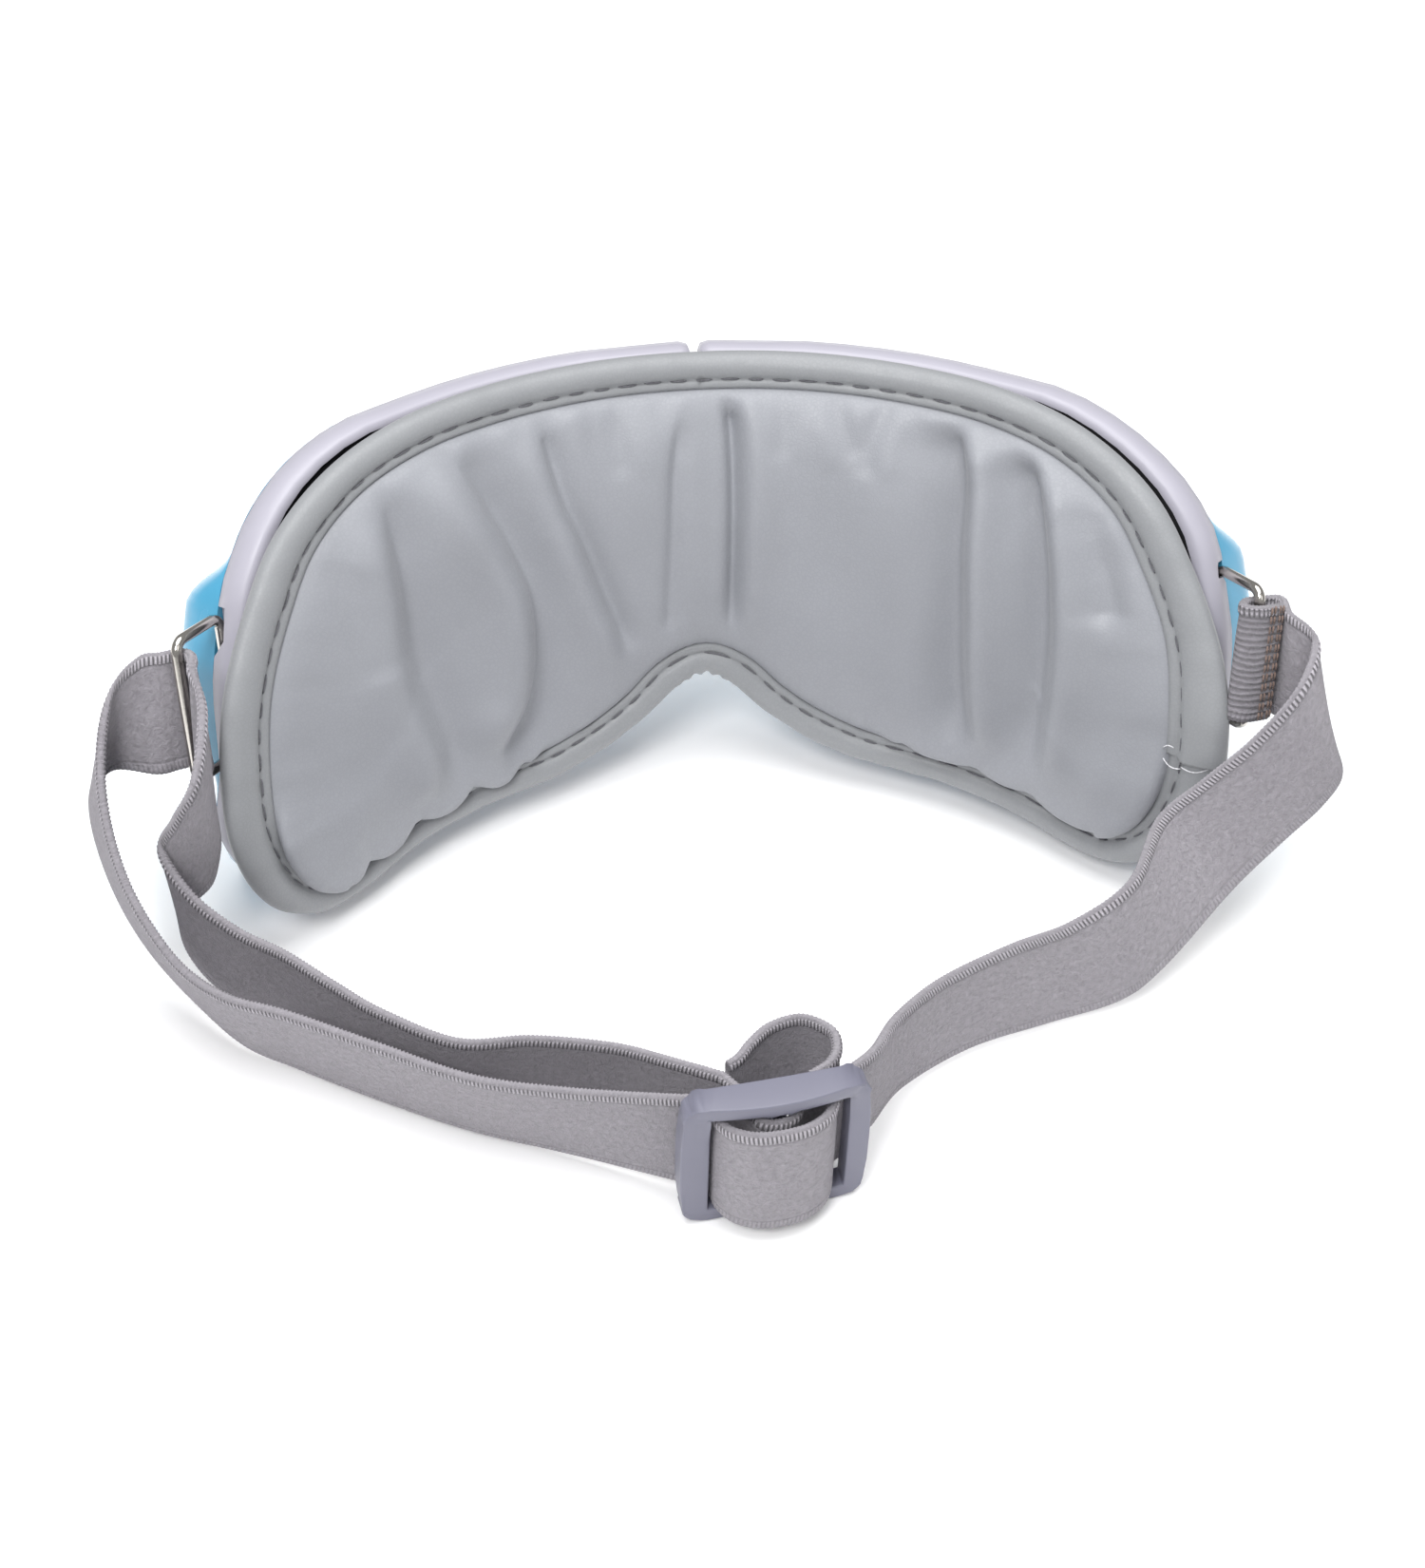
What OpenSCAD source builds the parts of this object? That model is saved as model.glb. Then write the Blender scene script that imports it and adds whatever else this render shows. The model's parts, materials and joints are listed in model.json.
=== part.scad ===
/* [Body] */
// Half height reference: top edge of the mask above the lobe centre line
top_z = 56.5; // [52:0.5:58]
// Gap between the two half shells at the bridge
seam_gap = 1.6; // [1.2:0.1:2]
// Depth of the white shell rim
rim_h = 7.4; // [7:0.1:7.8]
// Rise of the front cover above the rim
dome_h = 17; // [15:0.5:19]
// Wall of the front cover
cover_wall = 2; // [1.6:0.1:2.4]
// Angle that the standing mask leans back
lean = 20; // [18:1:22]

/* [Pad] */
// Crown of the pad over its edge
pad_crown = 7; // [5:0.5:9]
// Width of the edge binding
binding_w = 6.6; // [6:0.1:7]
// Thickness of the edge binding
binding_t = 5.4; // [4.8:0.1:6]

/* [Strap] */
// Thickness of the elastic strap
strap_t = 1.8; // [1.4:0.1:2]
// Wire diameter of the strap rings
wire_d = 2.2; // [2:0.1:2.4]
// Clear height inside a strap ring
ring_in_h = 27; // [26:0.5:28]
// Reach of a strap ring from pivot to outer bar
ring_reach = 14.5; // [13:0.5:15]

/* [Slider] */
// Length of the slider along the strap
slider_l = 36; // [35:0.5:37]
// Height of the slider across the strap
slider_h = 33.4; // [33:0.1:34]
// Thickness of the slider frame
slider_t = 4.4; // [4:0.1:4.6]

/* [Hidden] */
$fn = 48;

// World placement: the mask leans back and stands on its lobes
shift_x = 2.5;
shift_y = 7.5;
shift_z = 0;
module world() { translate([shift_x, shift_y, shift_z]) children(); }
module mask() { world() rotate([-lean, 0, 0]) translate([0, 31, 52]) children(); }
module left_side() { mask() mirror([1, 0, 0]) children(); }

// Wrap of the mask round the face
wrap_a = 44.3;
wrap_b = 7.1;
function g(x) = -(wrap_a*pow(x/100, 2) + wrap_b*pow(x/100, 4));
function gs(x) = -(2*wrap_a*x/1e4 + 4*wrap_b*pow(x, 3)/1e8);
function nx(x) = -gs(x)/sqrt(1 + gs(x)*gs(x));
function ny(x) = 1/sqrt(1 + gs(x)*gs(x));
function surf(x, z, h) = [x + h*nx(x), g(x) + h*ny(x), z];
// Local frame on the wrap: X along it, Y to the front, Z up
module at(x, z, h) { translate(surf(x, z, h)) rotate([0, 0, atan(gs(x))]) children(); }

// Edge of one half, from the top of the bridge round to the nose
edge_pts = [[0, top_z], [22, top_z - 0.5], [44, top_z - 2.4], [62.6, top_z - 5.7], [77.9, top_z - 12], [89.4, 34.2],
    [96.2, 20.7], [101, 5.6], [102.6, -10], [102, -25], [98.3, -37.7], [92.5, -45.6], [84.5, -49],
    [76, -46.9], [66, -42.5], [56, -39.5], [45, -37.2], [33, -34.6], [22, -29.8], [13, -23.8], [6, -17.5], [0, -15]];
function cr(p0, p1, p2, p3, t) = 0.5*((2*p1) + (p2 - p0)*t + (2*p0 - 5*p1 + 4*p2 - p3)*t*t + (3*p1 - p0 - 3*p2 + p3)*t*t*t);
function pick(v, i) = v[max(0, min(len(v) - 1, i))];
function smooth(v, k) = [for (i = [0:len(v) - 2]) for (j = [0:k - 1]) cr(pick(v, i - 1), v[i], v[i + 1], pick(v, i + 2), j/k), v[len(v) - 1]];
edge_s = smooth(edge_pts, 3);
function unit(v) = v/norm(v);
function edge_n(i) = let (d = pick(edge_s, i + 1) - pick(edge_s, i - 1)) unit([-d[1], d[0]]);
function clamp(v) = max(0, min(1, v));
function sstep(a, b, v) = let (t = clamp((v - a)/(b - a))) t*t*(3 - 2*t);
function lerp(a, b, t) = a + (b - a)*t;
// How far the shell stands outside the pad's edge
top_off = -0.6;
// It stands clear of the pad at the upper corners, and the left one is tucked in at the temple
corner_off = 1.5;
tuck = 2.6;
$in = 0;
function tucked(z) = $in*sstep(46, 26, z)*sstep(-30, -14, z);
function shell_off(p) = lerp(top_off + corner_off*sstep(58, 72, p[0])*sstep(10, 26, p[1]), -4, sstep(28, -14, p[1])) - tucked(p[1])*sstep(60, 85, p[0]);
edge_lo = [for (i = [0:len(edge_s) - 1]) if (edge_s[i][0] >= 14) i];
function bez(a, b, c, t) = a*(1 - t)*(1 - t) + 2*b*t*(1 - t) + c*t*t;

// Closed outline of a half shell: d is added to the shell's offset, gx is the seam's x
function loop(d, gx) = let (
        e = [for (i = edge_lo) edge_s[i] + (shell_off(edge_s[i]) + d)*edge_n(i)],
        zt = top_z + top_off + d,
        last = e[len(e) - 1],
        zn = -13.4 - d)
    concat([[gx, zt - 2.2], bez([gx, zt - 2.2], [gx, zt], [gx + 2.2, zt], 0.5), [gx + 2.2, zt]], e,
        [for (t = [1:3]) bez(last, [gx, zn + 1], [gx, zn + 7], t/3)],
        [for (t = [1:4]) [gx, lerp(zn + 7, zt - 2.2, t/5)]]);
// Closed outline of the pad
function pad_loop(d, gx) = let (
        e = [for (i = edge_lo) edge_s[i] + d*edge_n(i)],
        last = e[len(e) - 1])
    concat([[gx, top_z + d]], e, [for (t = [1:3]) bez(last, [lerp(gx, last[0], 0.45), -16.5 - d], [gx, -15 - d], t/3)],
        [for (t = [1:4]) [gx, lerp(-15 - d, top_z + d, t/5)]]);
mid = [52, 4];
function to_mid(p, r) = mid + (p - mid)*r;

// Skin of rings of equal length; each ring is a list of points
function ring_faces(n, m, closed) = [for (i = [0:(closed ? n - 1 : n - 2)]) for (j = [0:m - 1])
        let (a = i*m + j, b = i*m + (j + 1)%m, c = ((i + 1)%n)*m + (j + 1)%m, d = ((i + 1)%n)*m + j)
        each [[a, b, c], [a, c, d]]];
function fan(o, m, flip) = [for (j = [1:m - 2]) flip ? [o, o + j + 1, o + j] : [o, o + j, o + j + 1]];
module skin(rings, closed = false, flip = false) {
    n = len(rings); m = len(rings[0]);
    f0 = concat(ring_faces(n, m, closed), closed ? [] : concat(fan(0, m, true), fan((n - 1)*m, m, false)));
    polyhedron([for (r = rings) each r], flip ? f0 : [for (f = f0) [f[0], f[2], f[1]]]);
}
// Cap with a centre point, for outlines that are not convex
module pillow(rings, c0, c1, flip = false) {
    n = len(rings); m = len(rings[0]);
    f = concat([for (t = ring_faces(n, m, false)) [t[0], t[2], t[1]]],
        [for (j = [0:m - 1]) [n*m, j, (j + 1)%m]],
        [for (j = [0:m - 1]) [n*m + 1, (n - 1)*m + (j + 1)%m, (n - 1)*m + j]]);
    polyhedron(concat([for (r = rings) each r], [c0, c1]), flip ? f : [for (t = f) [t[0], t[2], t[1]]]);
}

// Shell rim: a closed band with a ledge for the back plate
rim_sec = [[-0.8, 1.6, 0.8], [0, 0.8, 1.6], [0.4, 0.8, 4.2], [0, 0.8, rim_h], [-0.8, 1.6, rim_h + 0.8],
    [-2.2, 7.3, rim_h + 0.8], [-2.2, 7.3, 5], [-6, 11, 5], [-6, 11, 3.8], [-2.2, 7.3, 3.8], [-2.2, 7.3, 1.8], [-2, 7.1, 0.8]];
module rim_band() {
    ls = [for (s = rim_sec) let (l = loop(s[0], seam_gap/2 - 0.8 + s[1])) [for (p = l) stand(surf(p[0], p[1], s[2]), 0.4)]];
    skin([for (i = [0:len(ls[0]) - 1]) [for (l = ls) l[i]]], closed = true, flip = true);
}
function screw_at() = [[40, 49.4], [89.3 - 0.75*$in, 27], [92.2, -32], [40, -28]];
hinge_h = 12.6;
pin_r = 1.5;
knuckle_r = 3.1;
module knuckles(first, count, pitch, width) {
    for (i = [0:count - 1]) translate([0, hinge_h, first + i*pitch]) cylinder(r = knuckle_r, h = width);
    for (i = [0:count - 1]) translate([seam_gap/2 + 0.5, 6, first + i*pitch]) cube([2, hinge_h - 6, width]);
}
// Pivot of a strap ring, inside the rim
ring_z = 3;
ring_tilt = 4;
ring_dir = -57;
// The right ring hangs further round towards the wearer
hang = [0, -12];
ring_pos = [100.3, -42.3, ring_z];
ring_c = ring_in_h + wire_d;
function ring_at(t) = ring_pos + t*[-0.69, 0.72, 0];
module at_ring(turn = 0) { translate(ring_at($in)) rotate([0, ring_tilt, 0]) rotate([0, 0, ring_dir + turn]) children(); }
// Room for a ring's arm as it swings: s is 1 for the upper arm, -1 for the lower
module arm_slot(s) {
    at_ring() translate([0, 0, s*ring_c/2 - 1.4]) linear_extrude(height = 2.8)
        polygon([[-1.4, -1.4], [0, -1.4], [11, -5.4], [11, 3.7], [0, 1.4], [-1.4, 1.4]]);
}
module half_shell(first, count) {
    difference() {
        union() {
            rim_band();
            knuckles(first, count, 16.4, 8);
        }
        translate([0, hinge_h, -20]) cylinder(r = pin_r + 0.04, h = 100);
        for (s = screw_at()) at(s[0], s[1], 3) rotate([-90, 0, 0]) cylinder(r = 0.92, h = 3, $fn = 24);
        // Slots for the ring's arms
        for (s = [-1, 1]) arm_slot(s);
        // Pocket for the ring's inner bar and its clip
        at_ring() translate([-2.6, -1.75, -ring_c/2 - 1.8]) cube([4.4, 6, ring_c + 3.6]);
        // Passage for the hose across the bridge
        translate([-2, g(0) + 5.6, -2]) rotate([0, 90, 0]) cylinder(r = 1.9, h = 16, $fn = 24);
    }
}
module left_shell() { $in = tuck; color([0.86, 0.85, 0.91]) left_side() half_shell(13.2, 2); }
module right_shell() {
    color([0.86, 0.85, 0.91]) mask() difference() {
        half_shell(5, 3);
        at(60, -35.6, 6.5) translate([-4.7, -1.6, -6]) cube([9.4, 4, 14]);
    }
}

// Front cover: a dome, steep at the temples and gentle along the top
function rise(r, p) = let (w = sstep(70, 95, p[0])*sstep(32, 17, p[1])*sstep(-24, -8, p[1]), v = sstep(-12, -34, p[1])*sstep(24, 44, p[0])*sstep(98, 88, p[0]))
    pow(1 - pow(r, lerp(lerp(2, 6, w), 8, v)), lerp(lerp(0.95, 0.24, w), 0.2, v));
// Nothing reaches below the surface that the mask stands on: d is the height kept above it
function stand(q, d) = [q[0], q[1], max(q[2], tan(lean)*(q[1] + 31) - 52 + d)];
// Each cover bulges down to a foot behind the lobe, flat on that surface
foot_h = 7.5;
function foot(r, p) = foot_h*sstep(-24, -38, p[1])*sstep(44, 58, p[0])*sstep(93, 83, p[0])*sstep(1, 0.95, r)*sstep(0.4, 0.85, r);
cover_r = [1, 0.985, 0.95, 0.88, 0.76, 0.58, 0.32];
function dome_ring(l, r, base, rise_h, d) = [for (p = l) let (q = to_mid(p, r)) stand(surf(q[0], q[1] - foot(r, p), base + rise_h*rise(r, p)), d)];
module dome() {
    lo = loop(-0.6, 6.4);
    li = loop(-0.6 - cover_wall, 8.4);
    base = rim_h + 0.9;
    pillow(concat([for (i = [len(cover_r) - 1:-1:0]) dome_ring(li, cover_r[i], base, dome_h - cover_wall, 2.3)],
        [for (r = cover_r) dome_ring(lo, r, base, dome_h, 0.1)]),
        surf(mid[0], mid[1], base + dome_h - cover_wall), surf(mid[0], mid[1], base + dome_h), flip = true);
}
button_r = 6;
module left_front_cover() { $in = tuck; color([0.42, 0.78, 0.92]) left_side() dome(); }
module right_front_cover() {
    color([0.42, 0.78, 0.92]) mask() difference() {
        dome();
        at(mid[0], mid[1], 18) rotate([-90, 0, 0]) cylinder(r = button_r + 0.15, h = 12);
        at(mid[0], mid[1] + 13, 14) rotate([-90, 0, 0]) cylinder(r = 1.3, h = 16, $fn = 24);
    }
}

// Back plate behind the pad
function flat_ring(l, r, h) = [for (p = l) let (q = to_mid(p, r)) surf(q[0], q[1], h)];
module plate() {
    l = loop(-2.4, 7.6);
    difference() {
        pillow(concat([for (r = [0.25, 0.5, 0.75, 1]) flat_ring(l, r, 2)], [for (r = [1, 0.75, 0.5, 0.25]) flat_ring(l, r, 3.6)]),
            surf(mid[0], mid[1], 2), surf(mid[0], mid[1], 3.6), flip = true);
        for (s = screw_at()) at(s[0], s[1], 0) rotate([-90, 0, 0]) cylinder(r = 1.1, h = 6, $fn = 24);
        at(30, -2, 0) rotate([-90, 0, 0]) cylinder(r = 1.9, h = 6, $fn = 24);
        for (s = [-1, 1]) arm_slot(s);
    }
}
module left_back_plate() { $in = tuck; color([0.08, 0.08, 0.09]) left_side() plate(); }
module right_back_plate() { color([0.08, 0.08, 0.09]) mask() plate(); }
module screw_set() {
    for (s = screw_at()) at(s[0], s[1], 0.6) rotate([-90, 0, 0]) union() {
        cylinder(r = 1.9, h = 1.1, $fn = 24);
        translate([0, 0, 1]) cylinder(r = 0.9, h = 3.9, $fn = 24);
    }
}
module left_screws() { $in = tuck; color([0.6, 0.6, 0.62]) left_side() screw_set(); }
module right_screws() { color([0.6, 0.6, 0.62]) mask() screw_set(); }

// Soft side
module pad() {
    l = pad_loop(-binding_w - 0.3, 2.2);
    rr = [1, 0.97, 0.9, 0.75, 0.5, 0.25];
    pillow(concat([[for (p = l) let (q = to_mid(p, 0.5)) surf(q[0], q[1], -4)]], [[for (p = l) surf(p[0], p[1], -4)]],
        [for (r = rr) [for (p = l) let (q = to_mid(p, r)) surf(q[0], q[1], -4.8 - pad_crown*pow(1 - r*r, 0.6))]]),
        surf(mid[0], mid[1], -4), surf(mid[0], mid[1], -4.8 - pad_crown));
}
module left_pad() { color([0.67, 0.68, 0.7]) left_side() pad(); }
module right_pad() { color([0.67, 0.68, 0.7]) mask() pad(); }
bind_sec = [for (a = [0:45:315]) [cos(a + 22.5), sin(a + 22.5)]];
module binding() {
    e = concat([[2.2, top_z]], [for (i = edge_lo) edge_s[i]], [[6.2, -17.7], [2.2, -15.4]]);
    function en(i) = let (d = pick(e, i + 1) - pick(e, i - 1)) unit([-d[1], d[0]]);
    skin([for (i = [0:len(e) - 1]) let (n = i == 0 ? [0, 1] : en(i)) [for (s = bind_sec)
        let (p = e[i] + n*(-binding_w/2 + s[0]*binding_w/2)) surf(p[0], p[1], -3.6 + s[1]*binding_t/2)]], flip = true);
}
module left_binding() { color([0.72, 0.72, 0.74]) left_side() binding(); }
module right_binding() { color([0.72, 0.72, 0.74]) mask() binding(); }
module layer(r, h0, h1, bulge) {
    l = pad_loop(-14, 9);
    pillow(concat([for (k = [0.35, 0.7, 1]) flat_ring(l, r*k, h0)], [flat_ring(l, r, h1), flat_ring(l, r*0.7, h1 - bulge*0.8), flat_ring(l, r*0.35, h1 - bulge)]),
        surf(mid[0], mid[1], h0), surf(mid[0], mid[1], h1 - bulge*1.1));
}
module left_air_bag() { color([0.3, 0.32, 0.36]) left_side() layer(0.9, -1, -2.6, 0.8); }
module right_air_bag() { color([0.3, 0.32, 0.36]) mask() layer(0.9, -1, -2.6, 0.8); }
module left_heating_film() { color([0.75, 0.45, 0.2]) left_side() layer(0.85, 0.2, -0.3, 0); }
module right_heating_film() { color([0.75, 0.45, 0.2]) mask() layer(0.85, 0.2, -0.3, 0); }

// Wire rings and the clips that hold them
module wire_ring(turn) {
    r = wire_d/2;
    c = 2.6;
    at_ring(turn) {
        for (x = [0, ring_reach]) translate([x, 0, -ring_c/2 + c]) cylinder(r = r, h = ring_c - 2*c, $fn = 32);
        for (z = [-1, 1]) translate([c, 0, z*ring_c/2]) rotate([0, 90, 0]) cylinder(r = r, h = ring_reach - 2*c, $fn = 32);
        for (x = [0, 1]) for (z = [0, 1]) translate([x ? ring_reach - c : c, 0, z ? ring_c/2 - c : -ring_c/2 + c])
            rotate([90, 0, 0]) rotate([0, 0, x ? (z ? 0 : 270) : (z ? 90 : 180)]) rotate_extrude(angle = 90, $fn = 48) translate([c, 0]) circle(r = r, $fn = 32);
    }
}
module left_strap_ring() { $in = tuck; color([0.75, 0.76, 0.78]) left_side() wire_ring(hang[0]); }
module right_strap_ring() { color([0.75, 0.76, 0.78]) mask() wire_ring(hang[1]); }
module clip() {
    at_ring() difference() {
        translate([-1.7, -1.45, -8]) cube([3, 2.9, 14.6]);
        translate([0, 0, -10]) cylinder(r = wire_d/2 + 0.05, h = 20, $fn = 32);
    }
}
module left_ring_clip() { $in = tuck; color([0.8, 0.8, 0.85]) left_side() clip(); }
module right_ring_clip() { color([0.8, 0.8, 0.85]) mask() clip(); }
module hinge_pin() { color([0.6, 0.6, 0.62]) mask() translate([0, hinge_h, 4.6]) cylinder(r = pin_r, h = 42); }

// Inside
module battery() { color([0.35, 0.45, 0.55]) left_side() at(50, 6, 8.6) cube([36, 8, 24], center = true); }
module air_pump() {
    color([0.25, 0.25, 0.28]) mask() at(50, -16, 11.4) rotate([0, 90, 0]) union() {
        translate([0, 0, -11]) cylinder(r = 6, h = 15);
        translate([0, 0, 3]) cylinder(r = 7, h = 8);
        translate([0, 0, -15.5]) cylinder(r = 1.5, h = 5, $fn = 24);
    }
}
module air_valve() { color([0.7, 0.7, 0.66]) mask() at(74, -14, 8.4) cube([8, 8, 13], center = true); }
module main_board() {
    color([0.1, 0.4, 0.25]) mask() at(mid[0], 8, 5.4) union() {
        cube([38, 1.2, 28], center = true);
        translate([0, 1.5, mid[1] - 8]) cube([6, 2, 6], center = true);
        translate([-10, 1.3, 6]) cube([9, 1.6, 9], center = true);
    }
}
motor_at = [76, 10, 7.2];
module motor() {
    at(motor_at[0], motor_at[1], motor_at[2]) difference() {
        translate([0, 0, -6]) cylinder(r = 3, h = 11);
        translate([0, 0, -4]) cylinder(r = 0.53, h = 12, $fn = 24);
    }
}
module weight() {
    at(motor_at[0], motor_at[1], motor_at[2]) union() {
        translate([0, 0, -3]) cylinder(r = 0.5, h = 12, $fn = 24);
        translate([0, 0, 5.6]) rotate_extrude(angle = 180) square([2.8, 3.2]);
    }
}
module left_motor() { color([0.7, 0.7, 0.72]) left_side() motor(); }
module right_motor() { color([0.7, 0.7, 0.72]) mask() motor(); }
module left_motor_weight() { color([0.45, 0.42, 0.38]) left_side() weight(); }
module right_motor_weight() { color([0.45, 0.42, 0.38]) mask() weight(); }
cover_top = rim_h + 0.9 + dome_h;
module power_button() {
    color([0.9, 0.9, 0.94]) mask() at(mid[0], mid[1], 0) rotate([-90, 0, 0]) union() {
        translate([0, 0, cover_top - 4]) cylinder(r = button_r, h = 5.2);
        translate([0, 0, cover_top - 4.8]) cylinder(r = button_r + 1, h = 1.2);
        translate([0, 0, 8.9]) cylinder(r = 1.8, h = cover_top - 11, $fn = 32);
    }
}
module indicator_light() { color([0.95, 0.95, 0.95]) mask() at(mid[0], mid[1] + 13, 0) rotate([-90, 0, 0]) translate([0, 0, 18]) cylinder(r = 1.2, h = 6.2, $fn = 24); }
module charging_port() {
    color([0.62, 0.62, 0.65]) mask() at(60, -35.6, 6.5) difference() {
        translate([-4.5, -1.4, -0.9]) cube([9, 2.9, 8]);
        translate([-4.1, -1.1, -2]) cube([8.2, 2.3, 7]);
    }
}
function tube_ring(p, d, r, k) = let (u = unit(cross(d, [0.1, 0.2, 1])), v = unit(cross(d, u))) [for (i = [0:k - 1]) p + r*cos(i*360/k)*u + r*sin(i*360/k)*v];
module tube(path, r, k) {
    s = smooth(path, 3);
    skin([for (i = [0:len(s) - 1]) tube_ring(s[i], unit(pick(s, i + 1) - pick(s, i - 1)), r, k)]);
}
module left_air_hose() {
    color([0.85, 0.85, 0.85]) mask() tube([surf(30, -14, 8.6), surf(24, -8, 7), surf(15, -2, 5.8), surf(6, -2, 5.6), surf(-6, -2, 5.6), surf(-15, -2, 5.9), surf(-25, -2, 6.6), surf(-30, -2, 6), surf(-30, -2, 3)], 1.3, 8);
}
module right_air_hose() {
    color([0.85, 0.85, 0.85]) mask() tube([surf(28, -17, 12), surf(24, -15, 10.5), surf(24, -4, 9), surf(29.6, -2, 7), surf(30, -2, 3)], 1.3, 8);
}

// Strap: ribbons through stations, each a lower and an upper edge point
function ribbon_sec(s, i, t) = let (
        a = s[i][0], b = s[i][1],
        d = unit((pick(s, i + 1)[0] + pick(s, i + 1)[1]) - (pick(s, i - 1)[0] + pick(s, i - 1)[1])),
        n = unit(cross(d, b - a)), w = unit(b - a))
    [a + n*t*0.3, a + w*0.6 + n*t/2, b - w*0.6 + n*t/2, b + n*t*0.3, b - n*t*0.3, b - w*0.6 - n*t/2, a + w*0.6 - n*t/2, a - n*t*0.3];
module ribbon(st, k) {
    lo = smooth([for (p = st) p[0]], k);
    hi = smooth([for (p = st) p[1]], k);
    s = [for (i = [0:len(lo) - 1]) [lo[i], hi[i]]];
    skin([for (i = [0:len(s) - 1]) ribbon_sec(s, i, strap_t)], flip = true);
}
slider_c = [0, -84, 0];
slider_a = 7.3;
module at_slider() { world() translate(slider_c) rotate([0, 0, slider_a]) children(); }
function sl(u, v, z) = [slider_c[0] + u*cos(slider_a) - v*sin(slider_a), slider_c[1] + u*sin(slider_a) + v*cos(slider_a), z];
function upright(uv, lo, hi) = [for (p = uv) [sl(p[0], p[1], lo), sl(p[0], p[1], hi)]];
strap_lo = 3.6;
strap_hi = 28.6;
turn_uv = [[15.5, 5], [13, 3.7], [11.5, 0.8], [10.7, -2.2], [8.6, -4.9], [4.8, -6.8], [0, -7.32], [-4.8, -6.8], [-8.6, -4.9], [-10.6, -2.2], [-11.2, 0.6], [-11.9, 3.6], [-15.2, 5.1]];
loop_uv = [[-7.4, 8.2], [-5.6, 5], [-4.2, 1.5], [-3.9, -1.4], [-3, -3.4], [0, -4.3], [3, -3.4], [4.1, -1.4], [4.8, 1.5], [8, 5.2], [12.6, 7.6], [15, 11],
    [15, 15.5], [10.4, 19.6], [4, 18.8], [-0.6, 15.6], [-3.6, 12.6], [-6.2, 11.2]];
function sl_pair(u, v) = [sl(u, v, strap_lo), sl(u, v, strap_hi)];
// Stations round a ring's outer bar: p runs along the ring's arms, q across them, side is 1 right, -1 left
function turn_x(v, a) = [v[0], v[1]*cos(a) - v[2]*sin(a), v[1]*sin(a) + v[2]*cos(a)];
function turn_y(v, a) = [v[0]*cos(a) + v[2]*sin(a), v[1], -v[0]*sin(a) + v[2]*cos(a)];
function turn_z(v, a) = [v[0]*cos(a) - v[1]*sin(a), v[0]*sin(a) + v[1]*cos(a), v[2]];
function bar_point(p, q, w, side) = let (
        m = ring_at(side > 0 ? 0 : tuck) + turn_y(turn_z([ring_reach + p, q, w], ring_dir + (side > 0 ? hang[1] : hang[0])), ring_tilt),
        k = turn_x(m + [0, 31, 52], -lean))
    [side*k[0], k[1], k[2]];
function bar_pair(p, q, side) = [bar_point(p, q, -12.5, side), bar_point(p, q, 12.5, side)];
right_st = concat([for (t = [[2.3, 3.6], [2.5, 1], [2.2, -2], [0.2, -3.8], [-2.2, -2], [-2.5, 0.6], [-2.3, 3.4], [-0.9, 6.2]]) bar_pair(t[0], t[1], 1)],
    [[[113.5, -11.5, 48], [112, -2.5, 70.5]], [[120, -15.5, 45], [116.4, -7.5, 67.5]], [[123.15, -19.5, 40.5], [111.4, -16, 62]], [[119.6, -21.5, 34], [103.6, -17.5, 50]],
    [[112.5, -23.5, 27], [95, -18.5, 41]], [[102, -27.5, 17.5], [85, -23, 35]], [[86.5, -38.5, 8], [77, -36, 31]], [[77, -42.5, 3], [65, -40.5, 25]],
    [[61, -46, 1.4], [52, -45.5, 25]], [[44.5, -51, 1.4], [37, -53, 25]], [[29, -60.5, 2], [26.5, -63, 26.8]], [[21, -70.5, 3], [20.5, -72, 28]], sl_pair(16.6, 5.6)]);
outer_st = [sl_pair(-16, 5.1), [[-37, -70.5, 1.4], [-37, -75.5, 26]], [[-55, -63, 1], [-55, -70, 25]], [[-73, -53.5, 1], [-72.5, -60.5, 25]], [[-88, -44.5, 1], [-89.5, -51, 25]],
    [[-99, -38, 2], [-100.5, -46.5, 25.5]], [[-109, -28.5, 6], [-108.5, -41, 27.5]], [[-117, -20.5, 12], [-114.5, -34.5, 32.5]], [[-123, -12, 19], [-119.5, -26.5, 39.5]],
    [[-127, -2.5, 27], [-122.5, -16.5, 47.5]], [[-127, 2, 35], [-122.5, -8.5, 57]], [[-122, 0, 43], [-119.5, -3, 67.5]]];
inner_st = [[[-104.4, -11, 47.5], [-104.2, -1.5, 70.5]], [[-102.4, -13.5, 41], [-102.6, -8, 65.5]], [[-102, -15, 33.5], [-104.5, -19, 58]], [[-104, -15.5, 25], [-109.5, -20.5, 48.5]],
    [[-110, -15.5, 17], [-112.5, -21, 41.5]], [[-110, -18, 8.5], [-107.5, -25, 32.5]], [[-103, -25, 3], [-99, -30, 27]], [[-91, -31.5, 1.4], [-90, -36, 26]], [[-81, -39.5, 1], [-80.5, -44.5, 25.5]],
    [[-71, -47.5, 1], [-71.5, -52.5, 25.5]], [[-57, -55.5, 1], [-57.5, -61, 25.5]], [[-43, -58, 1], [-43.5, -61.5, 25.5]], [[-28, -62.5, 1.6], [-28, -65.5, 26.4]], [[-17.5, -70.5, 3], [-17.5, -71.5, 28]], sl_pair(-8.2, 9.2)];
left_st = concat(outer_st, [for (t = [[3.4, 6.6], [0.4, 3.8], [-1.8, 1.9], [-2.5, 0], [-1.8, -1.9], [0, -3.6]]) bar_pair(t[0], t[1], -1)], inner_st);
module strap_right() { color([0.7, 0.68, 0.72]) world() ribbon(right_st, 3); }
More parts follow.
